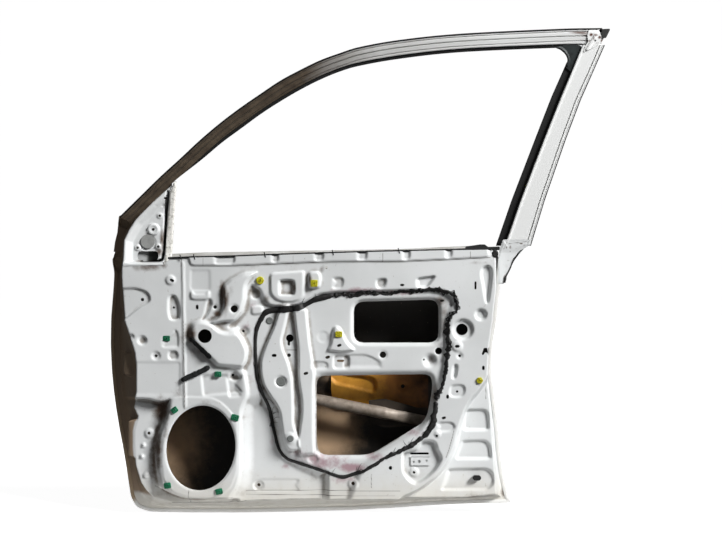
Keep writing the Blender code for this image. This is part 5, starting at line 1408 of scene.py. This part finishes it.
# %% Impact beam
BEAM_START = (59.0, 16.0, -184.7)
BEAM_SLOPE = -118.6 / 585.0
BEAM_RADIUS = 14.4
BEAM_STATIONS = [59, 200, 350, 500, 560, 600, 622, 628, 634, 640, 644, 650, 664, 690, 730, 790, 850, 895]
beam_x = np.array(BEAM_STATIONS, float)
beam_swell = np.interp(beam_x, [59, 600, 628, 640, 650, 700, 895], [1, 1, 1.08, 1.08, 0.98, 0.95, 0.9])
beam_flat = np.interp(beam_x, [59, 644, 690, 895], [1, 1, 0.32, 0.16])
beam_y = np.interp(beam_x, [59, 644, 730, 895], [16, 16, 25, 28])
a = np.arange(28) * 2 * np.pi / 28
beam_deep = BEAM_RADIUS * (beam_flat * beam_swell)[:, None] * np.cos(a)
beam_tall = BEAM_RADIUS * beam_swell[:, None] * np.sin(a)
beam_middle = BEAM_START[2] + BEAM_SLOPE * (beam_x[:, None] - BEAM_START[0])
beam = np.stack([beam_x[:, None] + 0 * a, beam_y[:, None] + beam_deep, beam_middle + beam_tall], axis=-1)
beam_tube = carried("impact_beam_tube_drawn", beam, ["impact_beam_tube"])
print("stiffener and beam:", len(beam_x), "stations")

# %% [markdown]
# Colours are written as on a paint chart, in sRGB hex, and one function turns them into the linear
# numbers that the shader wants. Another adds a node with its settings and links.

# %% Colour and node helpers


def linear(hex_colour):
    """sRGB hex to linear light: c/12.92 below 0.04045, else ((c + 0.055)/1.055)^2.4."""
    c = np.array([int(hex_colour[k:k + 2], 16) for k in (0, 2, 4)]) / 255
    return (*np.where(c <= 0.04045, c / 12.92, ((c + 0.055) / 1.055) ** 2.4), 1.0)


def add(tree, kind, values=None, links=(), **settings):
    """Adds a node: settings are its properties, values its inputs, and a link is (input, node, output)."""
    node = tree.nodes.new("ShaderNode" + kind)
    for key, value in settings.items():
        setattr(node, key, value)
    for key, value in (values or {}).items():
        node.inputs[key].default_value = value
    for target, source, output in links:
        tree.links.new(source.outputs[output], node.inputs[target])
    return node


def new_finish(name, colour, roughness, metallic=0.0):
    """A material whose shader has a plain colour until nodes are linked to it."""
    material = bpy.data.materials.new(name)
    material.use_nodes = True
    shader = material.node_tree.nodes["Principled BSDF"]
    shader.inputs["Base Color"].default_value = linear(colour)
    shader.inputs["Roughness"].default_value = roughness
    shader.inputs["Metallic"].default_value = metallic
    return material, material.node_tree, shader


print("white in linear light:", linear("ffffff")[0])

# %% [markdown]
# Body paint is a thin, sprayed coat inside a door: matt to satin, a little cloudy, with dirt and
# painted shade in its corners and on walls turned from the light. The noise only breaks the edge of
# each mark; where a mark lies is read from the numbers stored on the mesh.

# %% Body paint and the cavity's dark coat
CLOUD_MM = 160
STAIN_EDGE_MM = 24
GRIT_MM = 6
PEEL_MM = 4
GRIT_COLOUR = "8d8378"


def paint_finish(name, clean, dull, paint_marks, gloss=(0.36, 0.6)):
    """Cloudy paint under a list of marks, some stains and some painted shade: (stored number, noise added,
    low, high, colour).
    """
    material, tree, shader = new_finish(name, clean, 0.45)
    on_piece = [("Vector", add(tree, "TexCoord"), "Object")]
    cloud = add(tree, "TexNoise", {"Scale": 1000 / CLOUD_MM, "Detail": 4}, on_piece)
    share = add(tree, "MapRange", {"From Min": 0.35, "From Max": 0.7}, [("Value", cloud, "Fac")])
    colour = add(tree, "Mix", {6: linear(clean), 7: linear(dull)}, [(0, share, "Result")], data_type="RGBA")
    patches = add(tree, "TexNoise", {"Scale": 1000 / STAIN_EDGE_MM, "Detail": 7, "Roughness": 0.7}, on_piece)
    for mark, noise, low, high, stain_and_shade in paint_marks:
        stored = add(tree, "Attribute", attribute_name=mark)
        centred = add(tree, "Math", {1: 0.5}, [(0, patches, "Fac")], operation="SUBTRACT")
        broken = add(tree, "Math", {1: noise}, [(0, centred, "Value"), (2, stored, "Fac")],
                     operation="MULTIPLY_ADD")
        share = add(tree, "MapRange", {"From Min": low, "From Max": high}, [("Value", broken, "Value")],
                    interpolation_type="SMOOTHSTEP")
        colour = add(tree, "Mix", {7: linear(stain_and_shade)}, [(0, share, "Result"), (6, colour, 2)],
                     data_type="RGBA")
    grit = add(tree, "TexNoise", {"Scale": 1000 / GRIT_MM, "Detail": 3}, on_piece)
    specks = add(tree, "MapRange", {"From Min": 0.69, "From Max": 0.78, "To Max": 0.5},
                 [("Value", grit, "Fac")])
    colour = add(tree, "Mix", {7: linear(GRIT_COLOUR)}, [(0, specks, "Result"), (6, colour, 2)],
                 data_type="RGBA")
    tree.links.new(colour.outputs[2], shader.inputs["Base Color"])
    shine = {"From Min": 0.3, "From Max": 0.7, "To Min": gloss[0], "To Max": gloss[1]}
    rough = add(tree, "MapRange", shine, [("Value", patches, "Fac")])
    tree.links.new(rough.outputs["Result"], shader.inputs["Roughness"])
    peel = add(tree, "TexNoise", {"Scale": 1000 / PEEL_MM, "Detail": 2}, on_piece)
    bump = add(tree, "Bump", {"Strength": 0.12, "Distance": 0.0004}, [("Height", peel, "Fac")])
    tree.links.new(bump.outputs["Normal"], shader.inputs["Normal"])
    return material


# Primer-grey paint sprayed thinly inside the door: satin and pale, dull and brown where water stood,
# and darker and warmer towards the bottom. The brown in recesses and on walls turned from the light is
# partly dirt and partly painted shade; the hinge wall's brown, the groove's black and the dark lines
# under steps are painted shade.
paint = paint_finish("sprayed_body_paint", "d8dada", "cbcdcd",
                     [("lower_tone", 0.5, 0.1, 1.5, "bfb9ac"), ("hollow", 4.0, 0.6, 5.0, "6b6054"),
                      ("film", 1.5, 0.2, 0.9, "a2878d"), ("stain_and_shade", 1.0, 0.18, 0.95, "4d3a2b"),
                      ("painted_shade_wall", 0.25, 0.15, 0.75, "8f7c68"), ("seam_and_shade_line", 0.1, 0.2, 1.0, "57524c"),
                      ("groove", 0.1, 0.1, 0.8, "191b16")])
# The skin has the same paint outside. Inside it is near black, with tan patches of painted light where
# light falls in through the holes; its hem is painted brown as shade at the front.
skin_paint = paint_finish("sprayed_skin_paint", "d6d6d3", "cac8c4",
                          [("inner_side", 0.1, 0.3, 0.7, "14100c"), ("painted_light_patch", 0.4, 0.05, 0.8, "c8a988"),
                           ("painted_shade_wall", 0.25, 0.15, 0.75, "a08c74")])
for piece in inner_pieces + [patch, window_back, foot, bracket]:
    piece.data.materials.append(paint)
for piece in (skin, hem_piece):
    piece.data.materials.append(skin_paint)
print("paints:", paint.name, skin_paint.name)

# %% [markdown]
# The other finishes need only two tones and a grain: moulded nylon clips, extruded rubber, butyl that
# shines where it was torn, crumbling foam, dull drawn steel and dark dip primer. The orange coat
# turns dark brown to the rear, and the sash goes from brown-black at the front, which is painted
# shade, to pale grey, both along X with a noise that breaks the edge.

# %% Two-tone finishes


def two_tone(name, one, two, spots_mm, roughness, metallic=0.0, grain_mm=3.0, grain=0.2, span=(0.35, 0.65)):
    """A noise of the given spot size mixes two tones, and a finer one roughens the surface."""
    material, tree, shader = new_finish(name, one, roughness, metallic)
    on_piece = [("Vector", add(tree, "TexCoord"), "Object")]
    spots = add(tree, "TexNoise", {"Scale": 1000 / spots_mm, "Detail": 6, "Roughness": 0.65}, on_piece)
    share = add(tree, "MapRange", {"From Min": span[0], "From Max": span[1]}, [("Value", spots, "Fac")])
    colour = add(tree, "Mix", {6: linear(one), 7: linear(two)}, [(0, share, "Result")], data_type="RGBA")
    tree.links.new(colour.outputs[2], shader.inputs["Base Color"])
    pores = add(tree, "TexNoise", {"Scale": 1000 / grain_mm, "Detail": 3}, on_piece)
    bump = add(tree, "Bump", {"Strength": grain, "Distance": 0.001}, [("Height", pores, "Fac")])
    tree.links.new(bump.outputs["Normal"], shader.inputs["Normal"])
    return material


# Extruded EPDM: near black and dull, with a fine drag in its skin.
rubber = two_tone("extruded_black_rubber", "070707", "101111", 30, 0.6, grain_mm=2, grain=0.15)
# The corner is moulded on: a smoother, greyer rubber than the extrusion.
corner_black = two_tone("moulded_corner_rubber", "1c2021", "2b3232", 14, 0.5, grain_mm=2, grain=0.1)
# Butyl stays sticky for years: black, lumpy, and slightly brown where dust has stuck.
butyl = two_tone("torn_butyl", "050505", "0f0c0b", 9, 0.6, grain_mm=2.5, grain=0.6)
# Open-cell foam swallows light, and its torn cells make a deep grain, drawn coarser than real.
foam_black = two_tone("open_cell_foam", "0a0b0b", "151818", 5, 0.95, grain_mm=1.6, grain=0.9)
# Injection-moulded nylon: coloured through, satin, and dirty in its hollows.
green_nylon = two_tone("moulded_green_nylon", "24805a", "0f4a33", 12, 0.45)
yellow_nylon = two_tone("moulded_yellow_nylon", "d0cc1c", "8f8418", 6, 0.45)
# Grey polyethylene plugs look waxy and flat; the patch's cap has faded in the sun.
grey_plug = two_tone("grey_moulded_plug", "747775", "626664", 12, 0.6)
faded_cap = two_tone("faded_grey_cap", "979896", "878886", 12, 0.6)
# The tube is drawn steel with a thin oxide: dull, warm grey, barely metallic.
steel = two_tone("dull_drawn_steel", "a2978b", "6f6357", 35, 0.55, 0.2, grain_mm=6)
# Dip primer is a thin black-brown film that runs and pools.
primer = two_tone("dark_dip_primer", "241c15", "40362b", 40, 0.6)
# The belt parts wear a pale grey coat, duller where the glass's lip has rubbed.
grey_coat = two_tone("worn_grey_coat", "cfcfcc", "b4b2ac", 40, 0.5)
# Seam sealer was brushed on the post: off-white and rough, grey where it has caught dirt.
post_sealer = two_tone("brushed_seam_sealer", "f0eee8", "8d8d7f", 7, 0.7, grain_mm=4, grain=0.6,
                       span=(0.5, 0.74))
print("two-tone finishes, from", rubber.name, "to", post_sealer.name)

# %% [markdown]
# Three coats change along the door: the fold turns black behind the patch as painted shade, the orange
# overspray turns dark brown to the rear, and the sash goes from painted shade at the front to pale grey.
# Their ramps run along x in metres, with a noise that breaks the edge.

# %% Coats that turn along the door
BLOT_MM = 30
BLOT_SHIFT = 0.10


def turning(name, start, end, ramps, grooves=()):
    """A coat that turns from tone to tone along X: a ramp is (from x, to x, tone), in metres."""
    material, tree, shader = new_finish(name, start, 0.5)
    on_piece = [("Vector", add(tree, "TexCoord"), "Object")]
    across = add(tree, "SeparateXYZ", links=on_piece)
    blots = add(tree, "TexNoise", {"Scale": 1000 / BLOT_MM, "Detail": 8, "Roughness": 0.7}, on_piece)
    worn = add(tree, "Math", {1: BLOT_SHIFT}, [(0, blots, "Fac"), (2, across, "X")],
               operation="MULTIPLY_ADD")
    fine = add(tree, "MapRange", {"From Min": 0.35, "From Max": 0.7}, [("Value", blots, "Fac")])
    colour = add(tree, "Mix", {6: linear(start), 7: linear(end)}, [(0, fine, "Result")], data_type="RGBA")
    steps = [(worn, "Value", *ramp) for ramp in ramps]
    steps += [(add(tree, "Attribute", attribute_name=mark), "Fac", *rest) for mark, *rest in grooves]
    for source, output, low, high, tone in steps:
        share = add(tree, "MapRange", {"From Min": low, "From Max": high}, [("Value", source, output)])
        colour = add(tree, "Mix", {7: linear(tone)}, [(0, share, "Result"), (6, colour, 2)],
                     data_type="RGBA")
    tree.links.new(colour.outputs[2], shader.inputs["Base Color"])
    return material


# The fold in front has lost its gloss to the weather; it is painted brown as the shaded band along the
# front, and black behind the patch, both as painted shade.
fold_coat = turning("fold_coat_with_painted_shade", "7d6c58", "9a866e", [(0.085, 0.1, "1a1510")])
# Overspray settles as a dry, warm film. To the rear the coat is made darker, through brown to near black.
orange_coat = turning("orange_overspray", "e6a63c", "c88a2c",
                      [(0.655, 0.70, "a2692a"), (0.71, 0.80, "3b210f")])
# The sash is painted brown-black at its front as painted shade and turns pale grey to the rear; its
# grooves and outer lip are darkened, the grooves as painted shade, and rust streaks lie by the joint.
sash_coat = turning("sash_coat_with_painted_shade", "5e5243", "3a3026",
                    [(0.50, 0.68, "d4d4d2"), (0.72, 0.95, "f1f2f1")],
                    [("groove", 0.1, 1.1, "4a4641"), ("groove", 0.7, 0.95, "0c0a08"),
                     ("stain_and_shade", 0.2, 0.8, "5a3220")])
print("turning coats:", fold_coat.name, orange_coat.name, sash_coat.name)

# %% [markdown]
# The new pieces take their finishes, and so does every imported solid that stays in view.

# %% Finishes on the pieces
FINISHED = [([run_header, run_rear, end_cap, belt_block, belt_stop] + belt_slot_parts, rubber),
            (sealer + [foot_seam], butyl), (foam, foam_black), (green, green_nylon),
            (yellow, yellow_nylon), (plugs, grey_plug), ([stiffener], orange_coat), ([beam_tube], steel),
            ([header, rear, joint_plate], sash_coat), ([corner_rubber], corner_black),
            ([front_fold], fold_coat), ([post], post_sealer)]
for pieces, finish in FINISHED:
    for piece in pieces:
        piece.data.materials.append(finish)
KEPT = {rubber: ["rubber_bumper"], grey_coat: ["outer_belt_strip", "outer_belt_reinforcement"],
        primer: ["inner_belt_reinforcement", "beam_bracket_front", "beam_bracket_rear",
                 "upper_hinge_plate", "check_strap_plate", "lower_hinge_plate", "latch_plate"],
        faded_cap: ["mirror_patch_plug"]}
for finish, nodes in KEPT.items():
    for node in nodes:
        solid = bpy.data.objects[node]
        for slot in solid.material_slots:
            slot.material = finish
print("kept solids:", sum(len(nodes) for nodes in KEPT.values()))

# %% [markdown]
# The studio: a pale floor under the door and pale walls all round it, one large soft light at the
# upper right and weak light from all round. Floor and walls glow by themselves and light nothing, so
# that the photograph's plain white ground stays white while the door keeps its shadows.

# %% Floor and light
FLOOR_Z = -549.5
ROOM_RADIUS = 14.0
ROOM_HEIGHT = 16.0
KEY_AIM = np.array([0.5, 0.0, 0.0])
KEY_DIRECTION = np.array([0.697, -0.485, 0.528])
KEY_DISTANCE = 9.0
KEY_SIZE = (2.4, 2.4)
KEY_POWER = 1450
BOUNCE_PLACE = np.array([0.45, -0.10, -0.64])
BOUNCE_AIM = np.array([0.45, 0.03, -0.50])
BOUNCE_SIZE = (1.3, 0.1)
BOUNCE_POWER = 0.95
AIR_STRENGTH = 0.09


def stage_sheet(name, points, faces, colour, glow):
    """A backdrop that shows its own pale glow and neither lights nor shades the door."""
    sheet = bpy.data.meshes.new(name)
    sheet.from_pydata([tuple(p) for p in points], [], faces)
    backdrop = bpy.data.objects.new(name, sheet)
    bpy.context.scene.collection.objects.link(backdrop)
    backdrop.visible_diffuse = False
    backdrop.visible_glossy = False
    backdrop.visible_shadow = False
    material, tree, shader = new_finish(name + "_paint", colour, 0.9)
    shader.inputs["Emission Color"].default_value = linear("ffffff")
    shader.inputs["Emission Strength"].default_value = glow
    sheet.materials.append(material)
    return backdrop


floor_z = FLOOR_Z * MM
corners = [(-1, -1), (1, -1), (1, 1), (-1, 1)]
low = [(x * ROOM_RADIUS, y * ROOM_RADIUS, floor_z) for x, y in corners]
high = [(x, y, z + ROOM_HEIGHT) for x, y, z in low]
stage_sheet("floor", low, [(0, 1, 2, 3)], "c8c8c8", 0.93)
wall_faces = [(k, (k + 1) % 4, (k + 1) % 4 + 4, k + 4) for k in range(4)]
stage_sheet("walls", low + high, wall_faces, "1a1a1a", 1.0)


def soft_light(name, place, aim, size, power):
    """A rectangular area light that looks at its aim and isn't seen itself."""
    light = bpy.data.lights.new(name, "AREA")
    light.shape = "RECTANGLE"
    light.size, light.size_y = size
    light.energy = power
    lamp = bpy.data.objects.new(name, light)
    bpy.context.scene.collection.objects.link(lamp)
    lamp.location = place
    lamp.rotation_euler = Vector(place - aim).to_track_quat("Z", "Y").to_euler()
    lamp.visible_camera = False


soft_light("key_light", KEY_AIM + KEY_DIRECTION * KEY_DISTANCE, KEY_AIM, KEY_SIZE, KEY_POWER)
soft_light("floor_bounce", BOUNCE_PLACE, BOUNCE_AIM, BOUNCE_SIZE, BOUNCE_POWER)
world = bpy.data.worlds.new("studio_air")
world.use_nodes = True
world.node_tree.nodes["Background"].inputs["Color"].default_value = (1, 1, 1, 1)
world.node_tree.nodes["Background"].inputs["Strength"].default_value = AIR_STRENGTH
bpy.context.scene.world = world
